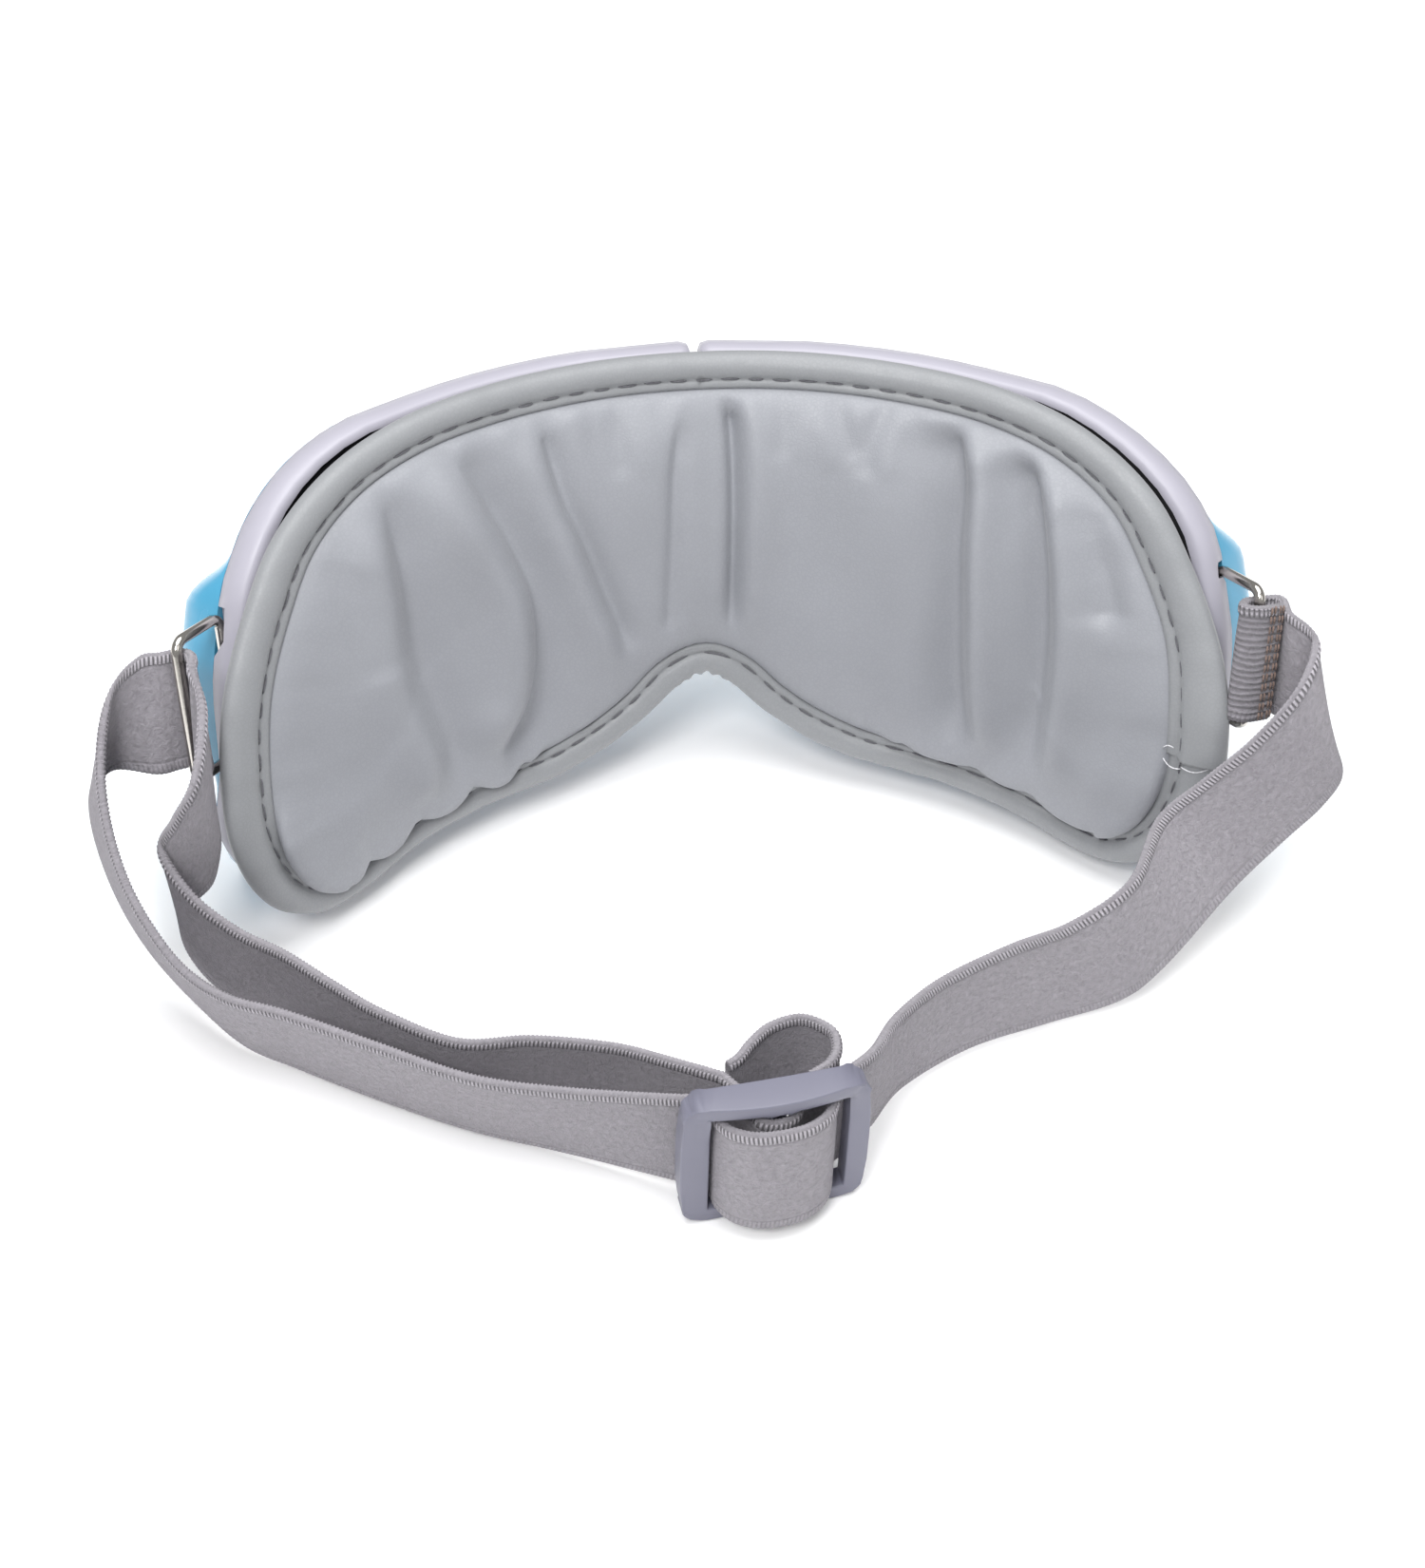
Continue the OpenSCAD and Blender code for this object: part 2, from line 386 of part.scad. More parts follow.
module strap_left() { color([0.7, 0.68, 0.72]) world() ribbon(left_st, 3); }
module strap_slider_turn() { color([0.7, 0.68, 0.72]) world() ribbon(upright(turn_uv, strap_lo, strap_hi), 2); }
module strap_end_loop() { color([0.7, 0.68, 0.72]) world() ribbon(upright(loop_uv, strap_lo, strap_hi), 2); }
module slider() {
    win = 27;
    color([0.63, 0.63, 0.7]) at_slider() translate([0, 0, slider_h/2]) union() {
        // Bar above the strap crowns outwards
        translate([0, 0, (slider_h + win)/4 - (slider_h - win)/4]) linear_extrude(height = (slider_h - win)/2)
            polygon(concat([[15, 0], [-15, 0]], [for (u = [-15:2.5:15]) [u, -slider_t/2 - 2.6*(1 - pow(u/15.5, 2))]]));
        difference() {
        rotate([90, 0, 0]) linear_extrude(height = slider_t, center = true) difference() {
            union() {
                square([slider_l - 4, slider_h], center = true);
                square([slider_l, slider_h - 4], center = true);
                for (x = [-1, 1]) for (z = [-1, 1]) translate([x*(slider_l/2 - 2), z*(slider_h/2 - 2)]) circle(r = 2);
            }
            translate([-slider_l/2 + 5.3, -win/2]) square([10.5, win]);
            translate([2.2, -win/2]) square([slider_l/2 - 6.2, win]);
        }
        // Bar under the strap is thinner than the frame
        translate([0, -slider_t/2 - 0.1, 0]) cube([4.4, 1.4, win], center = true);
        translate([0, slider_t/2 + 0.1, 0]) cube([4.4, 1.4, win], center = true);
        }
    }
}

left_shell();
right_shell();
left_front_cover();
right_front_cover();
left_back_plate();
right_back_plate();
left_pad();
right_pad();
left_binding();
right_binding();
left_air_bag();
right_air_bag();
left_heating_film();
right_heating_film();
left_screws();
right_screws();
left_ring_clip();
right_ring_clip();
left_strap_ring();
right_strap_ring();
hinge_pin();
battery();
air_pump();
air_valve();
main_board();
left_motor();
right_motor();
left_motor_weight();
right_motor_weight();
power_button();
indicator_light();
charging_port();
left_air_hose();
right_air_hose();
slider();
strap_right();
strap_slider_turn();
strap_end_loop();
strap_left();
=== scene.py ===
import json
import math
import bmesh
import bpy
import numpy as np
from mathutils import Matrix, Vector
from mathutils.geometry import delaunay_2d_cdt

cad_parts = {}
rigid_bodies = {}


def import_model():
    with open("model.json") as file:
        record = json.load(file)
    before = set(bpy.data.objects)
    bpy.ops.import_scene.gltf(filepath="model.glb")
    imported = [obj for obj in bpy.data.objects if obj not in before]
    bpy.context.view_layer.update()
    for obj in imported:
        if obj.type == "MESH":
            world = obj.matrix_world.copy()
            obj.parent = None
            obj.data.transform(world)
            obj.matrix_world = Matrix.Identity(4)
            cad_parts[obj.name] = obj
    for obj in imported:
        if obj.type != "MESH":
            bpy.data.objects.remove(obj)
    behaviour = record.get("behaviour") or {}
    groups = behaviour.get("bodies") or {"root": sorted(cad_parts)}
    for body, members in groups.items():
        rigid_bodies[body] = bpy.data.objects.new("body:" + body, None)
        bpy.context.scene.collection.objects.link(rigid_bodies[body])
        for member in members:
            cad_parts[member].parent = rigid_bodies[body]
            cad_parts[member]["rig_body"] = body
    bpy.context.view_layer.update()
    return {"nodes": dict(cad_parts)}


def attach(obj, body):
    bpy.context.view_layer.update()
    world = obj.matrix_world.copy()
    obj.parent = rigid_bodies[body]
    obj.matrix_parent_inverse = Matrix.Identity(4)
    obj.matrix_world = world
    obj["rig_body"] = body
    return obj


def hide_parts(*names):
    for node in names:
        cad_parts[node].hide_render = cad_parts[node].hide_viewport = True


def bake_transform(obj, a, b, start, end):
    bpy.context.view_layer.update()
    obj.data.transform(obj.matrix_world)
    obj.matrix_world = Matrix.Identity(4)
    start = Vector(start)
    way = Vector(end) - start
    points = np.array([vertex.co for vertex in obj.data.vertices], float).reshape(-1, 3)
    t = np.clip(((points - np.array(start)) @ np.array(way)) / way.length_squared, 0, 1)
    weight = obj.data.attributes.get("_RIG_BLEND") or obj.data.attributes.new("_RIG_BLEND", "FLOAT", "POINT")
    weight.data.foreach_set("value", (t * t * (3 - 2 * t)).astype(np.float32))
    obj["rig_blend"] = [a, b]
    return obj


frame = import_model()
nodes = frame["nodes"]
scene = bpy.context.scene
scene.view_settings.view_transform = "Standard"
rng = np.random.default_rng(7)

# ---------------------------------------------------------------- camera, floor, light
cam = bpy.data.cameras.new("camera")
cam.lens, cam.sensor_width, cam.sensor_fit = 68.07, 36.0, "AUTO"
cam.shift_x, cam.shift_y = -0.0061, -0.0721
cam.clip_start, cam.clip_end = 0.01, 50
cam_ob = bpy.data.objects.new("camera", cam)
scene.collection.objects.link(cam_ob)
c_right, c_up, c_back = Vector((.9934, -.1116, .0274)), Vector((.0543, .6658, .7441)), Vector((-.1012, -.7377, .6675))
cam_ob.matrix_world = Matrix((
    (c_right.x, c_up.x, c_back.x, -.0582), (c_right.y, c_up.y, c_back.y, -.4258),
    (c_right.z, c_up.z, c_back.z, .4524), (0, 0, 0, 1)))
scene.camera = cam_ob

world = bpy.data.worlds.new("studio")
scene.world = world
world.use_nodes = True
world.node_tree.nodes["Background"].inputs[0].default_value = (1, 1, 1, 1)
world.node_tree.nodes["Background"].inputs[1].default_value = 0.33


def area(name, where, to, size, watts):
    li = bpy.data.lights.new(name, "AREA")
    li.shape, li.size, li.energy = "DISK", size, watts
    ob = bpy.data.objects.new(name, li)
    scene.collection.objects.link(ob)
    ob.location = where
    ob.rotation_mode = "QUATERNION"
    ob.rotation_quaternion = (Vector(to) - Vector(where)).to_track_quat("-Z", "Y")


area("top", (0.0, 0.08, 1.2), (0, 0, 0.03), 1.1, 15.6)
area("key", (-0.36, -0.66, 1.0), (0, 0, 0.03), 0.4, 7.4)
area("fill", (0.6, -0.8, 0.9), (0, 0, 0.03), 0.6, 1.2)


# ---------------------------------------------------------------- materials
def lin(c):
    c = c / 255
    return c / 12.92 if c <= .04045 else ((c + .055) / 1.055) ** 2.4


def rgb(r, g, b, k=1.0):
    return (lin(r) * k, lin(g) * k, lin(b) * k, 1)


class Tree:
    """A material's node tree with short calls."""

    def __init__(self, name, **values):
        self.m = bpy.data.materials.new(name)
        self.m.use_nodes = True
        self.t = self.m.node_tree
        self.b = self.t.nodes["Principled BSDF"]
        for k, v in values.items():
            self.b.inputs[k.replace("_", " ")].default_value = v

    def node(self, kind, inputs=(), **props):
        n = self.t.nodes.new("ShaderNode" + kind)
        for k, v in props.items():
            setattr(n, k, v)
        for k, v in dict(inputs).items():
            if isinstance(v, bpy.types.NodeSocket):
                self.t.links.new(v, n.inputs[k])
            else:
                n.inputs[k].default_value = v
        return n

    def link(self, a, name):
        self.t.links.new(a, self.b.inputs[name])

    def obj(self):
        return self.node("TexCoord").outputs["Object"]

    def noise(self, scale, detail=3, rough=.5, vec=None, distort=0.0):
        return self.node("TexNoise", {"Vector": vec if vec is not None else self.obj(), "Scale": scale, "Detail": detail, "Roughness": rough, "Distortion": distort}).outputs["Fac"]

    def math(self, op, a, b=0.0, c=None, clamp=False):
        ins = {0: a, 1: b}
        if c is not None:
            ins[2] = c
        return self.node("Math", ins, operation=op, use_clamp=clamp).outputs[0]

    def remap(self, v, a, b, c, d, smooth=False):
        return self.node("MapRange", {"Value": v, "From Min": a, "From Max": b, "To Min": c, "To Max": d}, interpolation_type="SMOOTHSTEP" if smooth else "LINEAR").outputs[0]

    def mix(self, fac, a, b, kind="MIX"):
        n = self.node("Mix", {0: fac, 6: a, 7: b}, data_type="RGBA", blend_type=kind)
        return n.outputs[2]

    def bump(self, height, strength, dist, normal=None):
        ins = {"Height": height, "Strength": strength, "Distance": dist}
        if normal is not None:
            ins["Normal"] = normal
        return self.node("Bump", ins).outputs["Normal"]


def plastic(name, colour, rough, spread=.03, coat=0.0, grain=2600, bump=.06, spec=.5):
    """Moulded plastic: faint mottling, uneven gloss and a fine moulding grain."""
    t = Tree(name, Coat_Weight=coat, Coat_Roughness=.12, Specular_IOR_Level=spec)
    big, fine = t.noise(38, 2), t.noise(grain, 2)
    dark = tuple(x * (1 - spread) for x in colour[:3]) + (1,)
    light = tuple(min(1, x * (1 + spread)) for x in colour[:3]) + (1,)
    t.link(t.mix(t.remap(big, .3, .7, 0, 1), dark, light), "Base Color")
    t.link(t.remap(t.noise(130, 4), .3, .7, rough - .05, rough + .06), "Roughness")
    t.link(t.bump(fine, bump, .00008), "Normal")
    return t.m


def metal(name, colour, rough, scratch=(60, 60, 1400)):
    """Plated or drawn metal: fine lines and smudges in the gloss."""
    t = Tree(name, Metallic=1.0)
    m = t.node("Mapping", {"Vector": t.obj(), "Scale": scratch}).outputs[0]
    lines = t.noise(9, 4, .6, m)
    t.link(t.mix(t.remap(t.noise(300, 3), .35, .65, 0, 1), tuple(x * .86 for x in colour[:3]) + (1,), colour), "Base Color")
    t.link(t.remap(lines, .3, .7, rough * .6, rough * 1.6), "Roughness")
    t.link(t.bump(lines, .08, .00004), "Normal")
    return t.m


def leather(name, colour, rough, grain=.22):
    """Soft synthetic leather: pebbled grain with painted shade in the crevices between the pebbles, fine creases, dusty
    tone changes.
    """
    t = Tree(name, Specular_IOR_Level=.42, Sheen_Weight=.12, Sheen_Roughness=.45)
    o = t.obj()
    warp = t.node("VectorMath", {0: o, 1: t.node("VectorMath", {0: t.node("TexNoise", {"Vector": o, "Scale": 420.0, "Detail": 2.0}).outputs["Color"], "Scale": .0011}, operation="SCALE").outputs[0]}, operation="ADD").outputs[0]
    cell = t.node("TexVoronoi", {"Vector": warp, "Scale": 1150.0}, feature="DISTANCE_TO_EDGE").outputs["Distance"]
    pebble = t.remap(cell, 0.0, .22, 0, 1, True)
    crease = t.noise(330, 6, .62, warp, .8)
    tone = t.noise(34, 3, .55)
    base = t.mix(t.remap(tone, .3, .7, 0, 1), tuple(x * .955 for x in colour[:3]) + (1,), tuple(min(1, x * 1.03) for x in colour[:3]) + (1,))
    # painted shade: the crevices between the pebbles darkened
    base = t.mix(t.remap(pebble, 0, 1, .16, 0), base, tuple(x * .74 for x in colour[:3]) + (1,))
    t.link(base, "Base Color")
    t.link(t.remap(t.math("ADD", t.math("MULTIPLY", pebble, .35), crease), .4, .95, rough + .07, rough - .06), "Roughness")
    n = t.bump(crease, .1, .0004)
    t.link(t.bump(pebble, grain, .00007, n), "Normal")
    return t.m


def felt(name, colour, ribs=False):
    """Brushed elastic webbing: felted face, a row of slanting beads inside each plain edge, with painted shade in the
    gaps between the beads and along the groove inside them, both strongest along the upper edge. UV is metres along and
    across.
    """
    t = Tree(name, Specular_IOR_Level=.18, Sheen_Weight=.45, Sheen_Roughness=.5, Sheen_Tint=(.95, .93, .97, 1))
    uv = t.node("UVMap", uv_map="strap").outputs["UV"]
    sep = t.node("SeparateXYZ", {0: uv})
    u, v = sep.outputs[0], sep.outputs[1]
    from_edge = t.math("SUBTRACT", .0125, t.math("ABSOLUTE", t.math("SUBTRACT", v, .0125)))
    margin = t.remap(from_edge, .0004, .0007, 1, 0, True)
    band = t.math("MULTIPLY", t.remap(from_edge, .0004, .0007, 0, 1, True), t.remap(from_edge, .0021, .0025, 1, 0, True))
    groove = t.math("MULTIPLY", t.remap(from_edge, .0021, .0025, 0, 1, True), t.remap(from_edge, .0025, .0031, 1, 0, True))
    bead = t.math("SINE", t.math("ADD", t.math("MULTIPLY", u, 2 * math.pi / .0008), t.math("SUBTRACT", t.math("MULTIPLY", from_edge, 900.0), math.pi / 2 + 1.2)))
    bead = t.remap(bead, -.8, .3, 0, 1, True)
    flat = t.node("CombineXYZ", {0: u, 1: v, 2: 0.0}).outputs[0]
    fuzz = t.noise(840, 6, .66, flat, .6)
    fibre = t.noise(3600, 3, .6, flat, 1.2)
    blot = t.noise(85, 3, .5, flat)
    pill = t.remap(t.math("ADD", t.math("MULTIPLY", fuzz, .72), t.math("MULTIPLY", fibre, .28)), .33, .67, 0, 1)
    shade = lambda k: tuple(min(1, x * k) for x in colour[:3]) + (1,)
    base = t.mix(pill, shade(.67), shade(1.2))
    base = t.mix(t.remap(blot, .35, .65, .14, 0), base, (colour[0] * .80, colour[1] * .77, colour[2] * .82, 1))
    base = t.mix(t.math("MULTIPLY", margin, .7), base, t.mix(fibre, shade(.72), shade(.98)))
    # painted light: the bead band, pale bead thread with painted shade in the gaps between the beads, stays at full
    # strength along the lit upper edge and fades to a fifth along the lower edge
    band = t.math("MULTIPLY", band, t.remap(v, .010, .015, .22, 1))
    base = t.mix(t.math("MULTIPLY", band, .92), base, t.mix(bead, shade(.38), shade(1.7)))
    # painted shade: the groove inside the bead band darkened, only faintly along the lower edge
    base = t.mix(t.math("MULTIPLY", t.math("MULTIPLY", groove, .3), t.remap(v, .010, .015, .1, 1)), base, shade(.6))
    height = t.math("ADD", t.math("MULTIPLY", pill, .55), t.math("MULTIPLY", t.math("MULTIPLY", band, bead), .7))
    height = t.math("SUBTRACT", height, t.math("MULTIPLY", groove, .4))
    if ribs:
        wob = t.math("MULTIPLY", t.noise(260, 3, .5, flat), 5.0)
        rib = t.remap(t.math("SINE", t.math("ADD", t.math("MULTIPLY", v, 2 * math.pi / .0013), wob)), -1, 1, 0, 1)
        # painted shade: the troughs between the ribs darkened
        base = t.mix(t.remap(rib, 0, .8, .6, 0), base, tuple(x * .42 for x in colour[:3]) + (1,))
        height = t.math("ADD", height, t.math("MULTIPLY", rib, 1.0))
    t.link(base, "Base Color")
    t.link(t.remap(pill, 0, 1, .97, .84), "Roughness")
    t.link(t.bump(height, 1.0, .0008), "Normal")
    return t.m


def woven(name, colour, rough=.6, twist=2600):
    """Sewing thread: fine twisted strands."""
    t = Tree(name, Specular_IOR_Level=.3, Sheen_Weight=.2)
    o = t.obj()
    w = t.noise(twist, 3, .6, o)
    t.link(t.mix(t.remap(w, .3, .7, 0, 1), tuple(x * .6 for x in colour[:3]) + (1,), tuple(min(1, x * 1.25) for x in colour[:3]) + (1,)), "Base Color")
    t.link(t.remap(w, .3, .7, rough - .1, rough + .15), "Roughness")
    t.link(t.bump(w, .3, .0001), "Normal")
    return t.m


M = {
    "shell": plastic("shell_plastic", rgb(170, 168, 179), .40, .012, grain=1900, bump=.05),
    "blue": plastic("cover_plastic", rgb(76, 158, 194), .24, .02, coat=.35, bump=.02),
    "slider": plastic("slider_plastic", rgb(117, 117, 132), .42, .02, grain=2400, bump=.09),
    # near-black back plates: painted shade, standing for the shadowed hollow seen in the gaps behind the pad
    "shade_black": plastic("plate_painted_shade", (.012, .012, .014, 1), .7, .2),
    "nickel": metal("nickel_wire", (.66, .63, .585, 1), .16),
    "steel": metal("plain_steel", (.56, .56, .58, 1), .3),
    "brass": metal("weight_metal", (.42, .36, .26, 1), .4),
    "pad": leather("pad_leather", rgb(149, 151, 157), .47),
    "binding": leather("binding_leather", rgb(143, 145, 148), .45, .16),
    "strap": felt("strap_felt", rgb(166, 162, 169)),
    "strap_rib": felt("strap_felt_ribbed", rgb(158, 154, 161), True),
    # dark grey stitch thread: partly the thread's own colour, partly painted shade of the pinched stitch holes
    "stitch": woven("stitch_thread", rgb(100, 100, 106)),
    "sewing": woven("bar_tack_thread", rgb(128, 108, 100)),
    "fray": woven("loose_thread", rgb(226, 226, 230)),
    "bag": plastic("bladder_film", (.06, .065, .075, 1), .5, .15),
    "film": plastic("heater_film", (.42, .16, .04, 1), .45, .1),
    "board": plastic("circuit_board", (.02, .13, .06, 1), .5, .2),
    "cell": plastic("cell_wrap", (.10, .16, .24, 1), .4, .1),
    "pump": plastic("pump_body", (.035, .035, .04, 1), .5, .15),
    "hose": plastic("silicone_tube", (.68, .68, .66, 1), .45, .04),
    "button": plastic("button_plastic", rgb(232, 232, 238), .36, .015, grain=1700),
    "lens": plastic("light_lens", rgb(240, 240, 236), .2, .02, coat=.3),
}

# ---------------------------------------------------------------- shared shape of the mask (mm)
LEAN = math.radians(20)
SHIFT = np.array([2.5, 7.5, 0.0])
A_, B_ = 44.3, 7.1


def gx(x):
    return -(A_ * (x / 100) ** 2 + B_ * (x / 100) ** 4)


def gsl(x):
    return -(2 * A_ * x / 1e4 + 4 * B_ * x ** 3 / 1e8)


def surf(x, z, h):
    x, z, h = np.broadcast_arrays(np.asarray(x, float), np.asarray(z, float), np.asarray(h, float))
    s = gsl(x)
    q = np.sqrt(1 + s * s)
    return np.stack([x - h * s / q, gx(x) + h / q, z], -1)


def W(p):
    """Mask millimetres to metres in the row frame."""
    p = np.asarray(p, float)
    y, z = p[..., 1] + 31, p[..., 2] + 52
    c, s = math.cos(LEAN), math.sin(LEAN)
    return np.stack([p[..., 0] + SHIFT[0], y * c + z * s + SHIFT[1], -y * s + z * c], -1) / 1000


def sstep(a, b, v):
    t = np.clip((np.asarray(v, float) - a) / (b - a), 0, 1)
    return t * t * (3 - 2 * t)


def lerp(a, b, t):
    return a + (b - a) * t


def stand(q, d):
    q = np.array(q, float)
    q[..., 2] = np.maximum(q[..., 2], math.tan(LEAN) * (q[..., 1] + 31) - 52 + d)
    return q


EDGE = np.array([[0, 56.5], [22, 56], [44, 54.1], [62.6, 50.8], [77.9, 44.5], [89.4, 34.2], [96.2, 20.7], [101, 5.6], [102.6, -10], [102, -25], [98.3, -37.7],
                 [92.5, -45.6], [84.5, -49], [76, -46.9], [66, -42.5], [56, -39.5], [45, -37.2], [33, -34.6], [22, -29.8], [13, -23.8], [6, -17.5], [0, -15]], float)


def catmull(p, k, closed=False):
    """Points of a Catmull-Rom curve through p, k to a span."""
    p = np.asarray(p, float)
    n = len(p)
    i = np.arange(n if closed else n - 1)
    at = (lambda j: p[j % n]) if closed else (lambda j: p[np.clip(j, 0, n - 1)])
    p0, p1, p2, p3 = at(i - 1), at(i), at(i + 1), at(i + 2)
    t = (np.arange(k) / k)[None, :, None]
    p0, p1, p2, p3 = (q[:, None, :] for q in (p0, p1, p2, p3))
    s = .5 * (2 * p1 + (p2 - p0) * t + (2 * p0 - 5 * p1 + 4 * p2 - p3) * t * t + (3 * p1 - p0 - 3 * p2 + p3) * t ** 3)
    s = s.reshape(-1, p.shape[1])
    return s if closed else np.vstack([s, p[-1:]])


# ---------------------------------------------------------------- mesh helpers
def piece(name, verts, faces, mat, smooth=True, uv=None, normals=None, sharp=None):
    me = bpy.data.meshes.new(name)
    me.from_pydata([tuple(map(float, v)) for v in verts], [], [tuple(map(int, f)) for f in faces])
    me.materials.append(mat)
    me.polygons.foreach_set("use_smooth", [smooth] * len(me.polygons))
    if uv is not None:
        layer = me.uv_layers.new(name="strap")
        idx = np.zeros(len(me.loops), np.int32)
        me.loops.foreach_get("vertex_index", idx)
        layer.data.foreach_set("uv", np.asarray(uv, np.float32)[idx].ravel())
    me.update()
    ob = bpy.data.objects.new(name, me)
    scene.collection.objects.link(ob)
    if sharp is not None:
        sharpen(me, sharp)
    if normals is not None:
        me.normals_split_custom_set(normals)
    return ob


def sharpen(me, degrees):
    """Marks edges sharper than an angle, so that the rest shades smooth."""
    bm = bmesh.new()
    bm.from_mesh(me)
    for e in bm.edges:
        e.smooth = len(e.link_faces) == 2 and e.calc_face_angle(0) < math.radians(degrees)
    for f in bm.faces:
        f.smooth = True
    bm.to_mesh(me)
    bm.free()


def grid_faces(n, m, closed_n=False, closed_m=True, flip=False):
    f = []
    for i in range(n if closed_n else n - 1):
        for j in range(m if closed_m else m - 1):
            q = (i * m + j, i * m + (j + 1) % m, ((i + 1) % n) * m + (j + 1) % m, ((i + 1) % n) * m + j)
            f.append(q[::-1] if flip else q)
    return f


def outward(ob):
    bm = bmesh.new()
    bm.from_mesh(ob.data)
    bmesh.ops.recalc_face_normals(bm, faces=bm.faces)
    bm.to_mesh(ob.data)
    bm.free()


def skin_of(node, name, mat, degrees=50, body=None, cuts=()):
    """A welded, smooth-shaded copy of a CAD node's surface, which stands for it."""
    bm = bmesh.new()
    bm.from_mesh(nodes[node].data)
    bmesh.ops.remove_doubles(bm, verts=bm.verts, dist=2e-6)
    bmesh.ops.dissolve_degenerate(bm, edges=bm.edges, dist=1e-6)
    for x in cuts:
        bmesh.ops.bisect_plane(bm, geom=bm.verts[:] + bm.edges[:] + bm.faces[:], plane_co=(float(x), 0, 0), plane_no=(1, 0, 0))
    me = bpy.data.meshes.new(name)
    bm.to_mesh(me)
    bm.free()
    for a in [a.name for a in me.attributes if a.name == "custom_normal"]:
        me.attributes.remove(me.attributes[a])
    me.materials.clear()
    me.materials.append(mat)
    sharpen(me, degrees)
    ob = bpy.data.objects.new(name, me)
    scene.collection.objects.link(ob)
    if not len(cuts):
        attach(ob, body or nodes[node]["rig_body"])
    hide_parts(node)
    return ob


def tube(points, radius, k=8, taper=True):
    """Vertices and faces of a closed tube along points."""
    p = np.asarray(points, float)
    n = len(p)
    d = np.gradient(p, axis=0)
    d /= np.linalg.norm(d, axis=1)[:, None]
    ref = np.array([0.13, 0.29, 1.0])
    u = np.cross(d, ref)
    u /= np.linalg.norm(u, axis=1)[:, None]
    w = np.cross(d, u)
    a = np.arange(k) * 2 * math.pi / k
    r = np.full(n, radius, float)
    if taper:
        r[0] *= .55
        r[-1] *= .55
    v = p[:, None, :] + r[:, None, None] * (np.cos(a)[None, :, None] * u[:, None, :] + np.sin(a)[None, :, None] * w[:, None, :])
    f = grid_faces(n, k, flip=True) + [tuple(range(k)), tuple(range((n - 1) * k, n * k))[::-1]]
    return v.reshape(-1, 3), f


def gather(parts):
    """Several (vertices, faces) as one."""
    vs, fs, o = [], [], 0
    for v, f in parts:
        vs.append(v)
        fs += [tuple(i + o for i in q) for q in f]
        o += len(v)
    return np.vstack(vs), fs


# ---------------------------------------------------------------- floor
me = bpy.data.meshes.new("floor")
me.from_pydata([(-6, -6, -.0003), (6, -6, -.0003), (6, 6, -.0003), (-6, 6, -.0003)], [], [(0, 1, 2, 3)])
floor = bpy.data.objects.new("floor", me)
scene.collection.objects.link(floor)
t = Tree("floor_paper", Specular_IOR_Level=.1, Emission_Color=(1, 1, 1, 1), Emission_Strength=.10)
t.link(t.mix(t.noise(4, 2), (.93, .93, .935, 1), (.955, .955, .955, 1)), "Base Color")
t.link(t.remap(t.noise(900, 2), .3, .7, .8, .95), "Roughness")
me.materials.append(t.m)

# ---------------------------------------------------------------- shells, covers and rigid parts
skin_of("left_shell", "left_rim", M["shell"], 58)
skin_of("right_shell", "right_rim", M["shell"], 58)
for side in ("left", "right"):
    skin_of(side + "_strap_ring", side + "_wire_ring", M["nickel"], 60)


def edge_half(k):
    """One half's edge with its outward normals, from the top of the bridge to the nose."""
    full = np.vstack([EDGE, EDGE[1:-1][::-1] * [-1, 1]])
    s = catmull(full, k, True)[:(len(EDGE) - 1) * k + 1]
    d = np.gradient(s, axis=0)
    n = np.stack([-d[:, 1], d[:, 0]], -1)
    return s, n / np.linalg.norm(n, axis=1)[:, None]


def bez(a, b, c, t):
    a, b, c = (np.asarray(q, float) for q in (a, b, c))
    return a * (1 - t) ** 2 + 2 * b * t * (1 - t) + c * t * t


E_S, E_N = edge_half(8)


def shell_off(p, tuck):
    x, z = p[:, 0], p[:, 1]
    return lerp(-.6 + 1.5 * sstep(58, 72, x) * sstep(10, 26, z), -4, sstep(28, -14, z)) - tuck * sstep(46, 26, z) * sstep(-30, -14, z) * sstep(60, 85, x)


def shell_loop(d, g0, tuck):
    """Closed outline of a half shell, as in the CAD source, more finely divided."""
    keep = E_S[:, 0] >= 14
    e = E_S[keep] + (shell_off(E_S[keep], tuck) + d)[:, None] * E_N[keep]
    zt, last, zn = 55.9 + d, e[-1], -13.4 - d
    top = [bez([g0, zt - 2.2], [g0, zt], [g0 + 2.2, zt], t) for t in np.linspace(0, 1, 6)]
    run = [[lerp(g0 + 2.2, e[0, 0], t), lerp(zt, e[0, 1], t)] for t in (.33, .66)]
    low = [bez(last, [g0, zn + 1], [g0, zn + 7], t) for t in np.linspace(0, 1, 10)[1:]]
    up = [[g0, lerp(zn + 7, zt - 2.2, t)] for t in np.linspace(0, 1, 18)[1:-1]]
    return np.vstack([top, run, e, low, up])


MID, TUCK = np.array([52.0, 4.0]), 2.6


